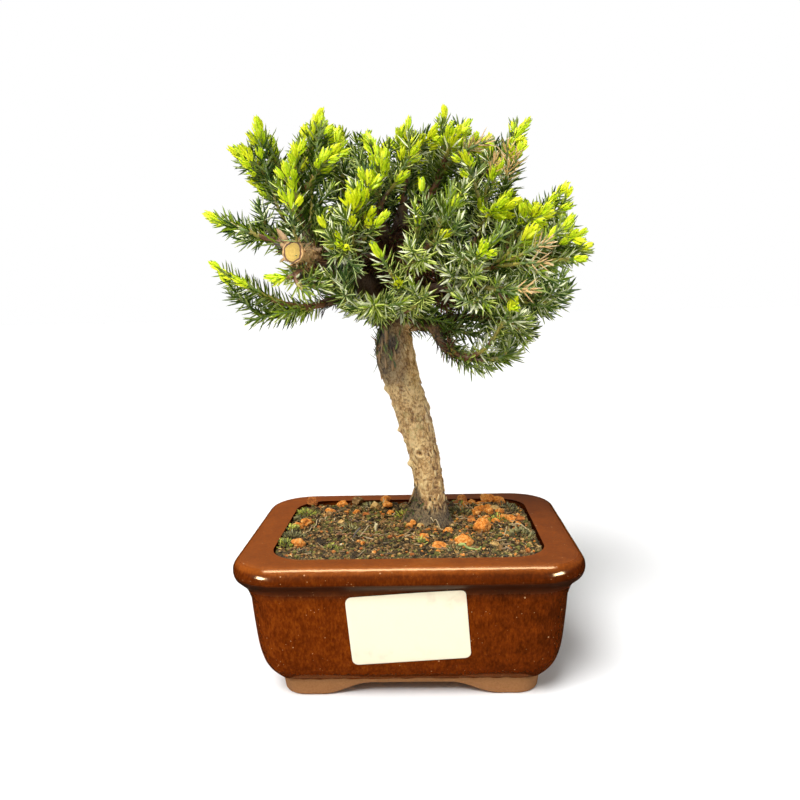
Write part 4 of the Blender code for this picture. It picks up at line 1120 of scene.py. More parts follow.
def needlesOn(shoot, random):
    # whorls of three along a shoot, each turned 60 degrees from the last: lean and length grow
    # from the tip down; the bud's needles are short, pressed together and lime
    path = evenPath(shoot["path"], 0.8)
    marks = lengthsAlong(path)
    total = marks[-1]
    lime = shoot["look"] in ("lime", "star", "bud")
    star, dead = (shoot["look"] == look for look in ("star", "dead"))
    bud = random.uniform(*needle["budLength"]) * (1.0 if shoot["level"] < 2 else 0.8)
    bud = (total if shoot["look"] == "bud" else min(bud, total * 0.6)) if lime else 0.0
    bare = 2.5 if shoot["level"] == 0 else 0.4 if dead else 2.2
    first = needle["first"]
    down = [first]
    while down[-1] < total - bare:
        down.append(down[-1] + needle["budStep" if down[-1] < bud or dead else "whorlStep"])
    down = np.repeat(np.array(down[:-1]), 3)
    if len(down) == 0:
        return None
    count = len(down)
    inBud = down < bud
    place = np.interp(total - down, marks, np.arange(len(path)))
    i = np.minimum(np.round(place).astype(int), len(path) - 1)
    ahead, side, other = (a[i] for a in framesAlong(path))
    base = np.stack([np.interp(total - down, marks, path[:, k]) for k in range(3)], 1)
    turns = np.radians(60 * (np.arange(count) // 3) + 120 * (np.arange(count) % 3)
                       + random.uniform(0, 360) + random.normal(0, 9, count))
    out = spokes(side, other, turns[:, None])

    lean = eased(down, bud, *needle["limeLean"]) if lime else eased(down, first, *needle["lean"])
    lean = lean + random.normal(0, 5, count)
    budLean = 11 + 20 * np.clip((down - 2.5) / 6, 0, 1) + random.normal(0, 4, count)
    lean = np.where(inBud, budLean, lean)
    if star:
        lean = eased(down, first, *needle["starLean"]) + random.normal(0, 4, count)
    lean = np.radians(lean)[:, None]
    direction = spokes(ahead, out, lean)
    up = ahead * np.sin(lean) - out * np.cos(lean)

    length = np.minimum(needle["length"], 4.4 + 0.95 * (down - (bud if lime else first)))
    length = np.where(inBud, eased(down, first, *needle["inStar" if star else "inBud"]), length)
    length = length * random.uniform(0.86, 1.1, count)
    width = np.full(count, needle["width"]) * random.uniform(0.88, 1.12, count)
    width = np.where(inBud, needle["starWidth" if star else "budWidth"], width)

    names = list(needleLooks)
    # the darker greens dealt towards the crown's middle are painted shade
    away = np.linalg.norm((path[-1] - foliage["middle"]) / foliage["reach"])
    deals = np.clip([share + growth * away for share, growth in needle["greens"].values()], 0, 1)
    green = random.choice(list(needle["greens"]), p=deals / deals.sum())
    look = np.full(count, names.index(green))
    if shoot["look"] == "fresh" or lime:
        look[down < bud + 3.4] = names.index("fresh")
    # silver needles, pale with a painted highlight, are dealt more towards the outside and the right
    # and fewer in the front middle, as the light falls
    pale = 0.04 + 0.36 * np.clip(away - 0.2, 0, 1) + (0.12 if path[-1][0] > 12 else 0)
    if -38 < path[-1][0] < 14 and path[-1][2] < 214:
        pale *= 0.75
    look[random.random(count) < pale] = names.index("silver")
    if lime:
        look[inBud] = names.index("yellow" if random.random() < 0.28 else "lime")
    if shoot["look"] in ("pale", "dried", "dead"):
        look[down < 9.5] = names.index("fresh" if shoot["look"] == "pale" else shoot["look"])
    if shoot["look"] in ("dried", "dead"):
        width *= 0.8

    foot = base + out * 0.35
    curl = np.where(inBud, 0.09, 0.04) + random.normal(0, 0.03, count)
    # none lies across the sawn end
    cut = fromFront(np.array([sawCut["near"]], float))
    across = [fromFront(foot + direction * (length * t)[:, None]) - cut for t in (0, 0.5, 1)]
    clear = (np.linalg.norm(across, axis=2).min(0) > 4.6) | (foot[:, 1] > -32)
    return tuple(a[clear] for a in (foot, direction, up, length, width, curl, look))


def needleMesh(foot, direction, up, length, width, curl, strips=(0,)):
    # each needle is a boat with four edges, narrow at its foot, widest a third of the way up and
    # drawn out to a point, curving in towards its shoot: centre = foot + d L t + u L c t squared;
    # strips are the sides that take the paler tint, a pale band with a painted highlight
    count = len(foot)
    across = np.cross(direction, up)
    shares, wide, thick = np.array(needle["rows"]).T
    t = shares[None, :, None]
    centre = (foot[:, None] + direction[:, None] * length[:, None, None] * t
              + up[:, None] * (length * curl)[:, None, None] * t * t)
    half = (width[:, None] * (wide / 2))[..., None]
    section = np.stack([centre - across[:, None] * half,
                        centre + up[:, None] * (half * 0.10),
                        centre + across[:, None] * half,
                        centre - up[:, None] * (width[:, None] * thick)[..., None]], 2)
    tip = foot + direction * length[:, None] + up * (length * curl)[:, None]
    points = np.concatenate([section.reshape(count, 12, 3), tip[:, None]], 1)
    faces, upper = [(0, 2, 1), (0, 3, 2)], [0, 0]
    for row in range(2):
        for i in range(4):
            j = (i + 1) % 4
            a, b = row * 4 + i, row * 4 + j
            faces += [(a, b, b + 4), (a, b + 4, a + 4)]
            upper += [1 if i in strips else 0] * 2
    for i in range(4):
        faces.append((8 + i, 8 + (i + 1) % 4, 12))
        upper.append(1 if i in strips else 0)
    faces = np.array(faces)[None] + 13 * np.arange(count)[:, None, None]
    return points.reshape(-1, 3), faces.reshape(-1, 3), np.array(upper)


def makeNeedles(name, needles, materials, strips):
    # needles of one kind as pieces of no more than a set number, each with its own materials
    parts = math.ceil(len(needles[0]) / needle["most"])
    for part in range(parts):
        chosen = [a[part::parts] for a in needles]
        points, faces, upper = needleMesh(*chosen[:6], strips)
        kinds = (chosen[6][:, None] * 2 + upper[None]).ravel()
        used, kinds = np.unique(kinds, return_inverse=True)
        piece = newPiece(f"needles_{name}_{part + 1}", points, faces,
                         [materials[k] for k in used], "needles", kinds=kinds.ravel(), smooth=False)
        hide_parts(*masses)


def makeStems(crown):
    # a slender tube along each shoot, brown at its foot, then yellow and green
    stems = [newMaterial(name, {"Base Color": tint, "Roughness": 0.6}) for name, tint in (
        ("brownStem", (0.20, 0.085, 0.028)), ("yellowStem", (0.36, 0.30, 0.050)),
        ("greenStem", (0.13, 0.21, 0.025)))]
    parts, kinds = [], []
    for shoot in crown.shoots:
        level = shoot["level"]
        path = evenPath(shoot["path"], 2.2)
        share = np.linspace(0, 1, len(path))
        foot, tip = foliage["stems"][level]
        radius = foot + (tip - foot) * share ** (0.35 if level == 0 else 0.7)
        radius[-1] *= 0.5
        sides = foliage["stemSides"][level]
        points, faces = tube(path, radius, sides)
        parts.append((points, faces))
        middle = np.where(faces < len(path) * sides, faces // sides, 0).mean(1)
        along = middle / (len(path) - 1)
        brown, yellow = foliage["stemBrown"][level]
        kinds.append((along > brown).astype(int) + (along > yellow))
    points, faces = joinMeshes(parts)
    piece = newPiece("shoot_stems", points, faces, stems, "needles", kinds=np.concatenate(kinds))
    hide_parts(*masses)
    return len(faces)


def makeFoliage():
    # leading shoots and plumes first, then the shoots with given tips, side shoots and twigs, dead
    # tufts, and inner twigs where room is left; then the needles on all of them and the stems
    crown = Crown()
    leading = []
    for name in masses:
        for path in leadingPaths(name):
            x, _, height = path[-1]
            low = height < (205 if -80 < x < -60 else 178)
            crown.add(path, 0, "green" if low else "lime")
            leading.append(path)
    for knots, buds in plumes.values():
        crown.add(throughPoints(knots, 4), 1, "lime")
        crown.show(crown.shoots[-1]["path"])
        growBuds(crown, buds)
    carriers = leading + [throughPoints(knots, 6)[-6:] for _, knots, *_ in boughs.values()]
    for look, tips in frontTips.items():
        for tip in tips:
            growTip(crown, carriers, tip, look)
    apart, close = foliage["apart"], foliage["close"]
    growSides(crown, leading, foliage["sideStep"], foliage["sideLengths"], 1, apart)
    print("leading, front and side shoots:", len(crown.shoots))
    growSides(crown, leading, foliage["twigStep"], foliage["twigLengths"], 2, apart)
    growSides(crown, crown.paths(1), foliage["twigStep"], foliage["twigLengths"], 2, apart)
    print("with twigs:", len(crown.shoots))
    growSides(crown, crown.paths(2), foliage["twigStep"], foliage["fineLengths"], 3, apart)
    print("with fine twigs:", len(crown.shoots))
    growDead(crown)
    for _, knots, foot, _ in boughs.values():
        inner = [throughPoints(knots, 4)]
        growSides(crown, inner, 6.0, foliage["fineLengths"], 3, close, foot * 0.8)
    for turn in range(2):
        every = [shoot["path"] for shoot in crown.shoots if shoot["look"] not in ("bud", "dead")]
        growSides(crown, every, 5.0 + turn, foliage["fineLengths"], 3, close)
    print("with the inner twigs:", len(crown.shoots))

    dressed = [needlesOn(shoot, crown.random) for shoot in crown.shoots]
    dressed = [np.concatenate(column) for column in zip(*[d for d in dressed if d is not None])]
    names = list(needleLooks)
    # each look's upper-side tint is a pale band with a painted highlight
    materials = [newMaterial(name + part, {"Base Color": tint, "Roughness": rough,
                                           "Specular IOR Level": 0.12})
                 for name, (*tints, rough) in needleLooks.items()
                 for part, tint in zip(("Under", "Band"), tints)]
    for name, (looks, strips) in needleGroups.items():
        chosen = np.isin(dressed[6], [names.index(look) for look in looks])
        makeNeedles(name, [a[chosen] for a in dressed], materials, strips)
    faces = makeStems(crown)
    print("needles:", len(dressed[0]), "triangles:", 22 * len(dressed[0]) + faces)


makeFoliage()


# Loose bark

flakes = {                # direction and height on the trunk, length, width, how far the tip lifts
    "strips": ((248, 159, 11.0, 1.3, 0.10), (238, 158, 9.0, 1.1, 0.16), (226, 152, 8.5, 1.4, 0.22),
               (214, 147, 8.0, 1.6, 0.20), (232, 143, 6.0, 1.3, 0.15), (201, 136, 4.5, 1.6, 0.30),
               (252, 141, 5.0, 1.5, 0.08), (322, 120, 5.0, 1.5, 0.26), (330, 115, 4.5, 1.5, 0.32),
               (318, 110, 3.6, 1.3, 0.22), (262, 146, 5.0, 1.2, 0.10), (180, 78, 9.0, 2.6, 0.12)),
    "small": 260, "fibres": 190, "footFibres": 150, "perBough": 120, "shaggy": 60,
    "clothed": ("bough_right_low", "bough_hanging", "bough_left_low", "bough_left_side",
                "bough_left_under", "bough_left_up", "bough_left_out"),
    "sawn": (             # what stands off the sawn end's rim: angle, length, width
        (128, 8.5, 2.8), (150, 3.6, 2.4), (205, 3.2, 1.8), (-60, 4.5, 2.6)),
    "tints": {            # of the fibres: share, colour
        "darkFibre": (0.26, (0.050, 0.036, 0.012)), "mossFibre": (0.34, (0.11, 0.15, 0.018)),
        "leafFibre": (0.24, (0.26, 0.34, 0.040)), "rustFibre": (0.16, (0.28, 0.13, 0.040))},
}


def twig(tint):
    def recipe(place):
        # one dry stem's colour with darker streaks
        streak = place.noise(1.2, 3.0, 0.6)
        dark, pale = (tuple(min(1.0, share * c) for c in tint) for share in (0.55, 1.2))
        return {"Base Color": streak.tint(dark, pale), "Roughness": 0.6 + streak * 0.3}
    return recipe


def makeFlakes(random):
    # curled scales of bark: on the trunk they hang from their upper end, pointing at the bark
    # one length lower
    count = flakes["small"]
    small = [random.uniform(low, high, count) for low, high in (
        (0, 360), (68, 166), (2.0, 4.2), (0.9, 1.7), (0.02, 0.16))]
    turns, heights, length, width, lift = np.concatenate([flakes["strips"], np.stack(small, 1)]).T
    turns = np.radians(turns)
    foot, out = onTrunk(heights, turns, 0.25)
    ends, _ = onTrunk(heights - length, turns, 0)
    sway = np.cross(out, [0, 0, 1]) * random.normal(0, 0.16, len(turns))[:, None]
    direction = unit(unit(ends - foot) + sway + out * 0.04)

    # round the sawn end: a few strips stand away from its rim, the rest lie along the bough
    count = flakes["shaggy"]
    shaggy = [random.uniform(low, high, count) for low, high in ((-150, 110), (2.2, 5.5), (1.1, 2.8))]
    angles, reach, broad = np.concatenate([flakes["sawn"], np.stack(shaggy, 1)]).T
    stands = np.arange(len(angles)) < len(flakes["sawn"])
    facing = unit(np.array(sawCut["facing"]))
    right = unit(np.cross([0, 0, 1.0], facing))
    rim = spokes(right, np.cross(facing, right), np.radians(angles)[:, None])
    knots = np.array(boughs[sawCut["bough"]][1], float)
    back = unit(knots[-2] - knots[-1])
    depth = np.where(stands, 0.6, random.uniform(0.8, 13, len(angles)))[:, None]
    foot = np.concatenate([foot, sawCut["middle"] + rim * 4.7 + back * depth])
    along = np.where(stands, 0.3, random.choice([-0.7, 1.0, 1.0], len(angles)))[:, None]
    outward = rim * np.where(stands, 1.0, 0.16)[:, None]
    free = back * along + outward + random.normal(0, 0.3, rim.shape)
    direction = np.concatenate([direction, unit(free)])
    out = np.concatenate([out, unit(rim + facing * 0.2)])
    length, width = np.concatenate([length, reach]), np.concatenate([width, broad])
    lift = np.concatenate([lift, random.uniform(-0.1, 0.3, len(rim))])
    up = unit(out - direction * (out * direction).sum(1)[:, None])
    points, faces, _ = needleMesh(foot, direction, up, length, width, lift)
    tone = np.repeat(random.uniform(-0.3, 0.9, len(foot)), 13)
    number = np.arange(len(foot))
    strip = (number < len(flakes["strips"])) | (abs(number - len(turns) - 1.5) < 2)
    looks = [bpy.data.materials["flakyBark"], newMaterial("barkStrip", {}, twig((0.50, 0.29, 0.11)))]
    newPiece("bark_flakes", points, faces, looks, "bark", kinds=strip.astype(int).repeat(22),
             depth=tone)


def makeFibres(random):
    # fibres and short needles that cling to the upper trunk's left side, to its foot and to bare
    # boughs: along the bark, leaning out and astray by a random share
    count, low = flakes["fibres"], flakes["footFibres"]
    turns, heights = np.radians(random.normal(212, 26, count)), random.uniform(140, 168, count)
    turns = np.concatenate([turns, np.radians(random.normal(222, 38, low))])
    heights = np.concatenate([heights, random.uniform(60, 76, low) - 2 * random.uniform(0, 1, low)])
    count += low
    foot, out = onTrunk(heights, turns, -0.1)
    way = random.choice([-1.0, 1.0], (count, 1), p=[0.35, 0.65]) * np.array([[0, 0, 1.0]])
    feet, outs, ways = [foot], [out], [way]
    for name in flakes["clothed"]:
        _, knots, thick, thin = boughs[name]
        path = evenPath(throughPoints(knots, 4), 0.5)
        ahead, side, other = framesAlong(path)
        i = random.integers(len(path) // 6, len(path), flakes["perBough"])
        out = spokes(side[i], other[i], random.uniform(0, 2 * math.pi, len(i))[:, None])
        feet.append(path[i] + out * (thick + (thin - thick) * i / len(path))[:, None] * 0.95)
        outs.append(out)
        ways.append(ahead[i])
    foot, out, way = (np.concatenate(part) for part in (feet, outs, ways))
    upright = np.arange(len(foot)) < count
    count = len(foot)
    leaning = np.where(upright, random.uniform(0.0, 0.3, count), random.uniform(0.2, 1.1, count))
    atFoot = upright & (foot[:, 2] < 80)
    stray = random.normal(0, 1.0, (count, 3)) * np.where(atFoot, 0.7, 0.22)[:, None]
    direction = unit(way + out * leaning[:, None] + stray)
    length = random.uniform(2.5, 6.5, count) * np.where(atFoot, 0.55, 1.0)
    up = unit(np.cross(direction, np.cross(out, direction)))
    width, curl = random.uniform(0.45, 0.85, count), random.uniform(-0.1, 0.2, count)
    points, faces, _ = needleMesh(foot, direction, up, length, width, curl)
    looks = [newMaterial(name, {}, twig(tint)) for name, (_, tint) in flakes["tints"].items()]
    kinds = random.choice(4, count, p=[share for share, _ in flakes["tints"].values()])
    kinds[atFoot & (kinds == 2)] = 0
    newPiece("bark_fibres", points, faces, looks, "bark", kinds=kinds.repeat(22), smooth=False)


barkRandom = np.random.default_rng(29)
makeFlakes(barkRandom)
makeFibres(barkRandom)
print("flakes and fibres on the bark")


# Soil, with what lies and grows on it

soil = {
    "top": 61.2, "edge": 60.5, "gap": 0.35, "level": 20.0, "slope": 32.0, "rings": 96,
    "crumbs": 5200, "fallen": 120, "straws": 150, "crumbSizes": ([1.0, 1.35, 1.9], [0.6, 0.28, 0.12]),
    "chunks": (               # x, y, width, how far its middle stands over the soil, kind
        (-50, -22, 6.2, 1.4, "orange"), (-55, 3, 6.4, 0.9, "orange"), (-51, 9, 4.6, 1.8, "orange"),
        (-42, 34, 5.6, 1.2, "orange"), (-36, 39, 5.0, 2.4, "orange"), (-28, 40, 4.8, 3.4, "brown"),
        (-13, 41, 5.4, 3.6, "orange"), (-12, 34, 4.4, 1.6, "orange"), (-18, 33, 5.2, 1.0, "tan"),
        (-52, 39, 5.0, 3.2, "rust"), (-41, 23, 3.6, 0.8, "brown"), (0, -2, 3.4, 0.8, "orange"),
        (-4, -13, 3.6, 0.8, "orange"), (27, 41, 5.0, 3.4, "orange"), (24, 39, 3.0, 2.0, "rust"),
        (41, 41, 6.4, 4.2, "orange"), (46, 40, 4.4, 3.0, "orange"), (47, 38, 4.8, 1.4, "orange"),
        (29, 36, 3.4, 0.8, "orange"), (32, 40, 4.2, 1.2, "orange"), (37, 40, 4.4, 1.2, "orange"),
        (35, 28, 4.4, 0.9, "orange"), (43, 24, 5.0, 1.2, "tan"), (33, 18, 4.4, 0.8, "orange"),
        (38, 13, 4.8, 1.0, "orange"), (49, 9, 5.2, 1.0, "orange"), (54, 13, 4.6, 1.2, "rust"),
        (34, -4, 7.4, 1.4, "orange"), (25, -22, 7.0, 1.2, "orange"), (14, -25, 5.8, 1.0, "orange"),
        (7, -16, 4.0, 0.8, "orange"), (13, -9, 3.6, 0.8, "orange"), (18, -9, 4.2, 0.8, "orange"),
        (1, 1, 3.4, 0.6, "orange"), (5, 0, 3.8, 0.6, "tan"), (30, 6, 3.2, 0.6, "orange"),
        (-22, 18, 3.0, 0.6, "rust"), (-33, 8, 3.0, 0.5, "tan"), (-10, 26, 3.4, 0.7, "orange"),
        (-28, 30, 3.2, 0.7, "orange"), (44, -14, 3.0, 0.6, "orange"), (38, -30, 2.8, 0.6, "tan"),
        (40, 18, 4.2, 1.0, "orange"), (45, 19, 4.0, 1.2, "orange"), (36, 23, 3.6, 0.8, "orange"),
        (47, 12, 4.4, 1.2, "orange"), (30, 13, 3.4, 0.8, "rust"), (42, 7, 4.0, 0.9, "orange"),
        (40, 30, 3.6, 0.8, "orange"), (26, 29, 3.2, 0.7, "orange"), (52, 4, 3.2, 0.7, "orange")),
    "moss": (                 # x, y, radius, height of the mound, blades, kind
        (-54, 27, 5.0, 2.2, 120, "bright"), (-56, -22, 4.2, 1.6, 110, "bright"),
        (-54, -12, 5.5, 2.4, 150, "olive"), (-34, -29, 2.4, 0.8, 40, "bright"),
        (-3, 20, 4.0, 1.4, 70, "bright"), (25, 38, 4.0, 1.8, 80, "bright"),
        (26, 20, 5.5, 2.6, 140, "olive"), (51, -12, 6.0, 2.6, 170, "olive"),
        (44, 11, 5.0, 1.6, 120, "bright"), (-46, -33, 3.0, 0.8, 40, "olive"),
        (-57, 16, 3.6, 1.8, 90, "olive"), (-57, -2, 3.6, 1.6, 90, "bright"),
        (5, -21, 2.4, 0.6, 34, "bright"), (-28, -4, 4.0, 0.9, 50, "olive"),
        (20, -32, 3.4, 0.7, 44, "olive"), (-20, 36, 4.6, 1.4, 70, "olive"),
        (8, 38, 5.0, 1.4, 80, "olive"), (50, 32, 4.6, 1.2, 70, "olive")),
    "sticks": (               # thickness at both ends, colour, then points over the soil's level
        (0.3, 0.2, "straw", (-41, 12, 2.6), (-44, 8, 2.4), (-46, 2, 1.6), (-49, -4, 0.6),
         (-50, -8, 0.4)),
        (0.3, 0.2, "straw", (-14, 36, 3.6), (-14, 35, 2.2), (-13, 34, 0.6)),
        (0.15, 0.8, "cream", (-16, -4, 5.2), (-16, -4, 2.6), (-15.6, -4, 0.2)),
        (0.6, 0.5, "cream", (-15.2, -5, 4.6), (-15.5, -4.5, 2.0), (-16, -4, 0.2)),
        (0.5, 0.35, "dark", (-22, -15, 4.4), (-24, -17, 2.0), (-26, -18, 0.3)),
        (0.25, 0.2, "straw", (-18, -14, 4.8), (-21, -16, 2.4), (-23, -17, 0.3)),
        (0.25, 0.2, "straw", (10, 0, 3.6), (13, -3, 3.4), (16, -7, 0.6)),
        (0.8, 0.3, "leaf", (22, -30, 0.6), (27, -30, 1.3), (32, -29, 0.9)),
        (0.3, 0.25, "straw", (47, -4, 3.0), (50, -6, 4.0), (55, -9, 2.6), (57, -12, 0.8)),
        (0.3, 0.2, "straw", (43, -16, 0.3), (44, -15, 3.0), (45, -14, 4.6)),
        (0.4, 0.25, "brown", (-30, 12, 0.7), (-18, 4, 1.2), (-8, 1, 0.7)),
        (0.35, 0.2, "rust", (-34, -8, 0.8), (-22, -9, 1.0), (-10, -14, 0.6)),
        (0.5, 0.4, "cream", (-30, -25, 2.6), (-30, -24, 1.4), (-30, -23.6, 0.2))),
    "strawTints": {
        "straw": (0.62, 0.46, 0.22), "cream": (0.84, 0.70, 0.38), "dark": (0.10, 0.075, 0.05),
        "leaf": (0.42, 0.52, 0.12), "brown": (0.17, 0.095, 0.04), "rust": (0.36, 0.15, 0.05)},
    "bladeTints": (           # a pair each for bright moss, olive moss, fallen needles
        (0.20, 0.23, 0.018), (0.62, 0.64, 0.070), (0.115, 0.105, 0.020), (0.40, 0.35, 0.12),
        (0.34, 0.20, 0.075), (0.66, 0.48, 0.25)),
}

clays = {                 # dark, middle, pale colour; share of the crumbs up to this kind at the
                          # left, and how much more of them at the right
    "orange": ((0.28, 0.060, 0.006), (0.80, 0.255, 0.026), (1.0, 0.66, 0.22), 0.02, 0.08),
    "tan": ((0.30, 0.14, 0.030), (0.66, 0.40, 0.12), (0.90, 0.68, 0.32), 0.07, 0.10),
    "brown": ((0.050, 0.024, 0.008), (0.28, 0.145, 0.040), (0.60, 0.37, 0.15), 0.42, 0.0),
    "dark": ((0.010, 0.006, 0.002), (0.048, 0.028, 0.008), (0.18, 0.110, 0.034), 0.76, 0.0),
    "olive": ((0.040, 0.036, 0.006), (0.17, 0.15, 0.026), (0.38, 0.33, 0.08), 0.96, 0.0),
    "rust": ((0.20, 0.050, 0.008), (0.52, 0.155, 0.025), (0.74, 0.33, 0.08), 1.0, 0.0),
}


def fromTrunk(x, y):
    # the level distance from the middle of the trunk's foot
    return np.hypot(x - trunk["stations"][0][0], y - trunk["y"])


def soilHeight(x, y):
    # level round the trunk, then sloping to the pot's wall, with low waves, clods and hollows
    share = np.clip((fromTrunk(x, y) - soil["level"]) / soil["slope"], 0, 1)
    flat = np.stack([x, y, 0 * x], -1).reshape(-1, 3)
    clods = 1.1 * latticeNoise(flat, 6.0, 61) + 1.9 * np.abs(latticeNoise(flat, 3.0, 62)) - 0.4
    clods = clods + 0.75 * latticeNoise(flat, 1.4, 63) + 0.35 * latticeNoise(flat, 0.7, 64)
    wave = 0.25 * (np.sin(0.31 * x + 1) + np.cos(0.37 * y - 0.5))
    return soil["top"] + (soil["edge"] - soil["top"]) * share + wave + clods.reshape(x.shape) - 0.2


def onSoil(x, y, lift):
    # places at a lift over the soil
    return np.stack([x, y, soilHeight(x, y) + lift], 1)


def inMouth(x, y, clear):
    # how far inside the pot's mouth each point lies, over the clearance asked for
    inset = pot["mouthInset"] + soil["gap"] + clear
    corner = pot["mouthCorner"]
    outX = np.clip(np.abs(x) - (pot["width"] / 2 - inset - corner), 0, None)
    outY = np.clip(np.abs(y) - (pot["depth"] / 2 - inset - corner), 0, None)
    return np.hypot(outX, outY) < corner


def earth(place):
    # dark damp crumbs with tan and olive ones between, and pale grit
    fine = place.noise(0.8, 4.0, 0.7)
    broad = place.noise(6.0, 3.0, 0.6, 3.0)
    tone = (fine - 0.5) * 2.6 + (broad - 0.5) * 1.2 + 0.42
    skin = tone.tints((0.20, (0.016, 0.010, 0.003)), (0.46, (0.075, 0.044, 0.013)),
                      (0.66, (0.26, 0.160, 0.048)), (0.92, (0.66, 0.46, 0.19)))
    green = place.noise(3.5, 2.0, 0.5, 7.0).ramp(0.52, 0.64)
    skin = (green * 0.55).tint(skin, (0.115, 0.12, 0.022))
    return {"Base Color": skin, "Roughness": 0.75 + fine * 0.22, "Normal": fine.bump(0.6)}


def clay(dark, middle, pale):
    def recipe(place):
        # fired clay: cloudy, with darker pits and paler patches
        cloud = place.noise(1.6, 4.0, 0.65)
        pits = place.noise(0.5, 3.0, 0.6, 4.0)
        tone = (cloud - 0.5) * 1.7 + (pits - 0.5) * 0.9 + 0.5
        skin = tone.tints((0.12, dark), (0.5, middle), (0.88, pale))
        return {"Base Color": skin, "Roughness": 0.8 + pits * 0.18, "Normal": tone.bump(0.5)}
    return recipe


def roundedStone(subdivisions):
    # the points and triangles of a ball made of triangles
    ball = bmesh.new()
    bmesh.ops.create_icosphere(ball, subdivisions=subdivisions, radius=1.0)
    points = np.array([v.co[:] for v in ball.verts])
    faces = np.array([[v.index for v in f.verts] for f in ball.faces])
    ball.free()
    return points, faces


def brokenStones(middles, widths, heights, random, subdivisions, planes):
    # each stone is the ball cut back by random planes: reach = least of d / (n . direction)
    ball, faces = roundedStone(subdivisions)
    count = len(middles)
    normals = unit(random.normal(size=(count, planes, 3)))
    depths = random.uniform(0.62, 1.0, (count, planes))
    towards = np.clip(np.einsum("cpk,vk->cpv", normals, ball), 1e-3, None)
    reach = np.minimum((depths[..., None] / towards).min(1), 1.15)
    points = ball[None] * reach[..., None]
    turn = random.uniform(0, 2 * math.pi, count)[:, None]
    x = points[..., 0] * np.cos(turn) - points[..., 1] * np.sin(turn)
    y = points[..., 0] * np.sin(turn) + points[..., 1] * np.cos(turn)
    half = np.stack([widths, widths * random.uniform(0.7, 1.0, count), heights], 1)[:, None] / 2
    points = np.stack([x, y, points[..., 2]], -1) * half + middles[:, None]
    faces = faces[None] + len(ball) * np.arange(count)[:, None, None]
    return points.reshape(-1, 3), faces.reshape(-1, 3), len(faces[0])


def makeBed():
    # rings follow the pot's inside up to the soil's edge, then shrink to the trunk
    inside = ((pot["floor"] + 0.3, 23.0, 6.0), *pot["inside"][:0:-1], (58.0, 16.5, 15.0))
    levels = [(z, inset + soil["gap"], corner - soil["gap"]) for z, inset, corner in inside]
    shares = outlineShares(*pot["steps"])
    below = outlineRings(levels, shares, pot["width"], pot["depth"])
    edge = below[-1, :, :2]
    middle = np.array([trunk["stations"][0][0], trunk["y"]])
    steps = np.linspace(0, 1, soil["rings"] + 1)[:-1, None, None]
    flat = edge[None] + (middle - edge)[None] * (1 - (1 - steps) ** 1.25)
    height = soilHeight(flat[..., 0], flat[..., 1])
    top = np.concatenate([flat, height[..., None]], -1)
    points, faces = closedLoft(np.concatenate([below, top]))
    skin = newMaterial("earth", {"Specular IOR Level": 0.2}, earth)
    return newPiece("soil_bed", points, faces, [skin], "soil")


def scattered(random, count, clear):
    # random places inside the pot's mouth and outside the trunk
    x = random.uniform(-60, 60, count * 2)
    y = random.uniform(-46, 46, count * 2)
    kept = inMouth(x, y, clear) & (fromTrunk(x, y) > 8.5)
    return x[kept][:count], y[kept][:count]


def leaning(turn, lean):
    # directions at a turn round the upright, leaning from it
    return np.stack([np.cos(turn) * np.sin(lean), np.sin(turn) * np.sin(lean), np.cos(lean)], 1)


def makeChunks(random, skins):
    # the listed stones of fired clay, each cut by nine planes and roughened by noise
    x, y, wide, lift = np.array([c[:4] for c in soil["chunks"]], float).T
    at = onSoil(x, y, lift * 0.8)
    kinds = np.array([list(clays).index(c[4]) for c in soil["chunks"]])
    high = wide * random.uniform(0.7, 1.1, len(x))
    points, faces, each = brokenStones(at, wide * 1.1, high, random, 4, 9)
    rough = np.stack([latticeNoise(points, 2.4, 70 + k) + 0.4 * latticeNoise(points, 0.8, 80 + k)
                      for k in range(3)], 1)
    points = points + 0.38 * rough * wide.repeat(len(points) // len(x))[:, None] / 5
    return newPiece("clay_chunks", points, faces, skins, "soil", sharp=24, kinds=kinds.repeat(each))


def makeCrumbs(random, skins):
    # small broken stones all over the soil, with more orange and tan ones towards the right
    x, y = scattered(random, soil["crumbs"], 1.2)
    sizes, shares = soil["crumbSizes"]
    wide = random.uniform(0.8, 1.5, len(x)) * random.choice(sizes, len(x), p=shares)
    at = onSoil(x, y, wide * 0.12)
    right = np.clip((x + 10) / 50, 0, 1)
    deal = random.random(len(x))
    upTo = [deal < share + more * right for *_, share, more in clays.values()]
    kinds = np.select(upTo, range(len(clays)))
    points, faces, each = brokenStones(at, wide, wide * 0.8, random, 1, 8)
    return newPiece("soil_crumbs", points, faces, skins, "soil", smooth=False,
                    kinds=kinds.repeat(each))


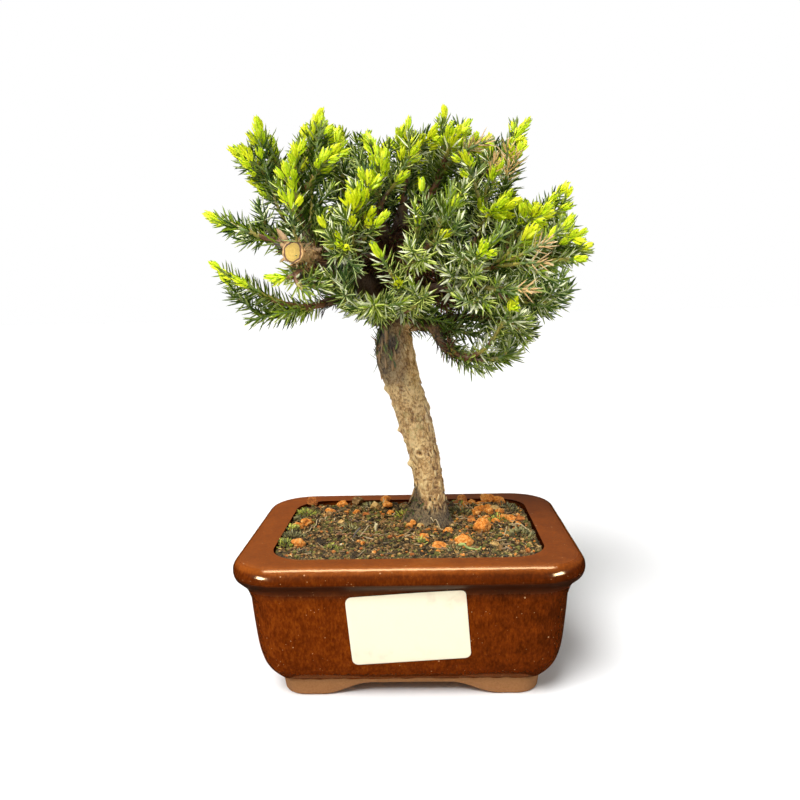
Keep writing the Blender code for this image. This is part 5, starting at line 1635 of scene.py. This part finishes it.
def makeMoss(random):
    # mounds of short blades that lean outward; fallen needles lie about among them
    blades = []
    for cx, cy, radius, mound, number, kind in soil["moss"]:
        away, turn = radius * np.sqrt(random.random(number)), random.uniform(0, 2 * math.pi, number)
        x, y = cx + away * np.cos(turn), cy + away * np.sin(turn)
        kept = inMouth(x, y, 0.4)
        x, y, away, turn = x[kept], y[kept], away[kept], turn[kept]
        height = soilHeight(x, y) - 0.3 + mound * (1 - (away / radius) ** 2)
        lean = 0.25 + 0.75 * away / radius + random.normal(0, 0.15, len(x))
        look = (0 if kind == "bright" else 2) + (random.random(len(x)) < 0.5)
        blades.append((np.stack([x, y, height], 1), leaning(turn, lean),
                       random.uniform(1.3, 2.4, len(x)), random.uniform(0.45, 0.7, len(x)), look))
    x, y = scattered(random, soil["fallen"], 4.0)
    turn, lean = random.uniform(0, 2 * math.pi, len(x)), random.uniform(1.2, 1.7, len(x))
    blades.append((onSoil(x, y, 0.7), leaning(turn, lean),
                   random.uniform(3.0, 6.5, len(x)), random.uniform(0.4, 0.7, len(x)),
                   random.integers(4, 6, len(x))))
    foot, direction, length, width, look = (np.concatenate(column) for column in zip(*blades))
    side = unit(np.cross(direction, random.normal(size=direction.shape)))
    points, faces, _ = needleMesh(foot, direction, side, length, width, np.full(len(foot), 0.12))
    blade = [newMaterial(f"moss{k}", {}, twig(tint)) for k, tint in enumerate(soil["bladeTints"])]
    return newPiece("moss_and_litter", points, faces, blade, "soil", smooth=False,
                    kinds=look.repeat(22))


def makeStraws(random):
    # the listed sticks as tubes through their points, then short straws that bend evenly
    tints = soil["strawTints"]
    parts, kinds = [], []
    for thick, thin, name, *knots in soil["sticks"]:
        path = evenPath(throughPoints(knots, 5), 0.8)
        path[:, 2] += soilHeight(path[:, 0], path[:, 1]) - 0.1
        parts.append(tube(path, np.linspace(thick, thin, len(path)), 7))
        kinds.append(np.full(len(parts[-1][1]), list(tints).index(name)))
    x, y = scattered(random, soil["straws"], 4.5)
    for at in np.stack([x, y], 1):
        turn, length = random.uniform(0, 2 * math.pi), random.uniform(2.5, 6.5)
        away = np.linspace(0, length, 7)
        bend = turn + np.linspace(0, random.uniform(-1, 1), 7)
        path = np.stack([at[0] + away * np.cos(bend), at[1] + away * np.sin(bend), away * 0], 1)
        if inMouth(path[:, 0], path[:, 1], 0.6).all():
            height = soilHeight(path[:, 0], path[:, 1]).mean() + 0.5
            path[:, 2] = height + random.uniform(0, 0.25) * away
            parts.append(tube(path, np.full(7, random.uniform(0.11, 0.19)), 5))
            kind = random.choice([0, 2, 4, 5], p=[0.3, 0.15, 0.35, 0.2])
            kinds.append(np.full(len(parts[-1][1]), kind))
    points, faces = joinMeshes(parts)
    stick = [newMaterial(name + "Stick", {}, twig(tint)) for name, tint in tints.items()]
    return newPiece("straws", points, faces, stick, "soil", kinds=np.concatenate(kinds))


def makeSoil():
    # one run of random numbers for all that lies on the bed, in this order
    random = np.random.default_rng(11)
    skins = [newMaterial(name + "Grain", {"Specular IOR Level": 0.2}, clay(*tints[:3]))
             for name, tints in clays.items()]
    for piece in (makeBed(), makeChunks(random, skins), makeCrumbs(random, skins),
                  makeMoss(random), makeStraws(random)):
        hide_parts("soil")


makeSoil()
print("soil with", len(soil["chunks"]), "clay chunks, crumbs, moss and straws")


# Label

label = {"width": 49.5, "height": 31.0, "corner": 2.6, "thickness": 0.35, "turn": 3.9,
         "middle": (0.0, 35.4), "gap": 0.3, "roll": 0.12}


def paper(place):
    # cream coated paper with a faint fibre and a few pinkish-brown smudges
    fibre = place.noise(0.5, 4.0, 0.6)
    cloud = place.noise(9.0, 3.0, 0.55, 2.0)
    upper = place.part(2).ramp(38 * mm, 46 * mm) * place.part(0).ramp(2 * mm, 12 * mm)
    lower = (1 - place.part(2).ramp(22 * mm, 30 * mm)) * (1 - place.part(0).ramp(2 * mm, 14 * mm))
    smudge = cloud.ramp(0.50, 0.70) * (upper + lower + 0.12)
    base = fibre.tint((0.88, 0.79, 0.55), (0.94, 0.86, 0.65))
    return {"Base Color": (smudge * 0.6).tint(base, (0.80, 0.62, 0.44)),
            "Roughness": 0.42 + fibre * 0.12, "Normal": fibre.bump(0.02)}


def makeLabel():
    # outlines shrink towards the middle on the front and back, with a rounded edge between,
    # and every point takes its depth from the pot's wall at its height
    wall = throughPoints(pot["wall"] + pot["frontRim"], 4)
    shares = outlineShares(8, 34, 22)
    roll, thick = label["roll"], label["thickness"]
    rings = [(1 - drawnIn, roll, thick) for drawnIn in (0.94, 0.8, 0.6, 0.4, 0.22, 0.08, 0)]
    rings += [(1.0, roll * 0.3, thick - roll * 0.3), (1.0, 0.0, thick - roll), (1.0, 0.0, roll),
              (1.0, roll * 0.3, roll * 0.3), (1.0, roll, 0.0), (0.6, roll, 0.0), (0.1, roll, 0.0)]
    levels = [(depth, inset, label["corner"] - inset) for _, inset, depth in rings]
    flat = outlineRings(levels, shares, label["width"], label["height"])
    flat[..., :2] *= np.array([share for share, _, _ in rings])[:, None, None]
    turn = math.radians(label["turn"])
    x = flat[..., 0] * math.cos(turn) - flat[..., 1] * math.sin(turn) + label["middle"][0]
    z = flat[..., 0] * math.sin(turn) + flat[..., 1] * math.cos(turn) + label["middle"][1]
    inset = np.interp(z, wall[:, 0], wall[:, 1])
    y = -pot["depth"] / 2 + inset - label["gap"] - flat[..., 2]
    points, faces = closedLoft(np.stack([x, y, z], -1)[:, ::-1])
    finish = newMaterial("labelPaper", {}, paper)
    piece = newPiece("blank_label", points, faces, [finish], "label", sharp=40)
    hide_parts("label")


makeLabel()
print("label: blank paper on the front wall")
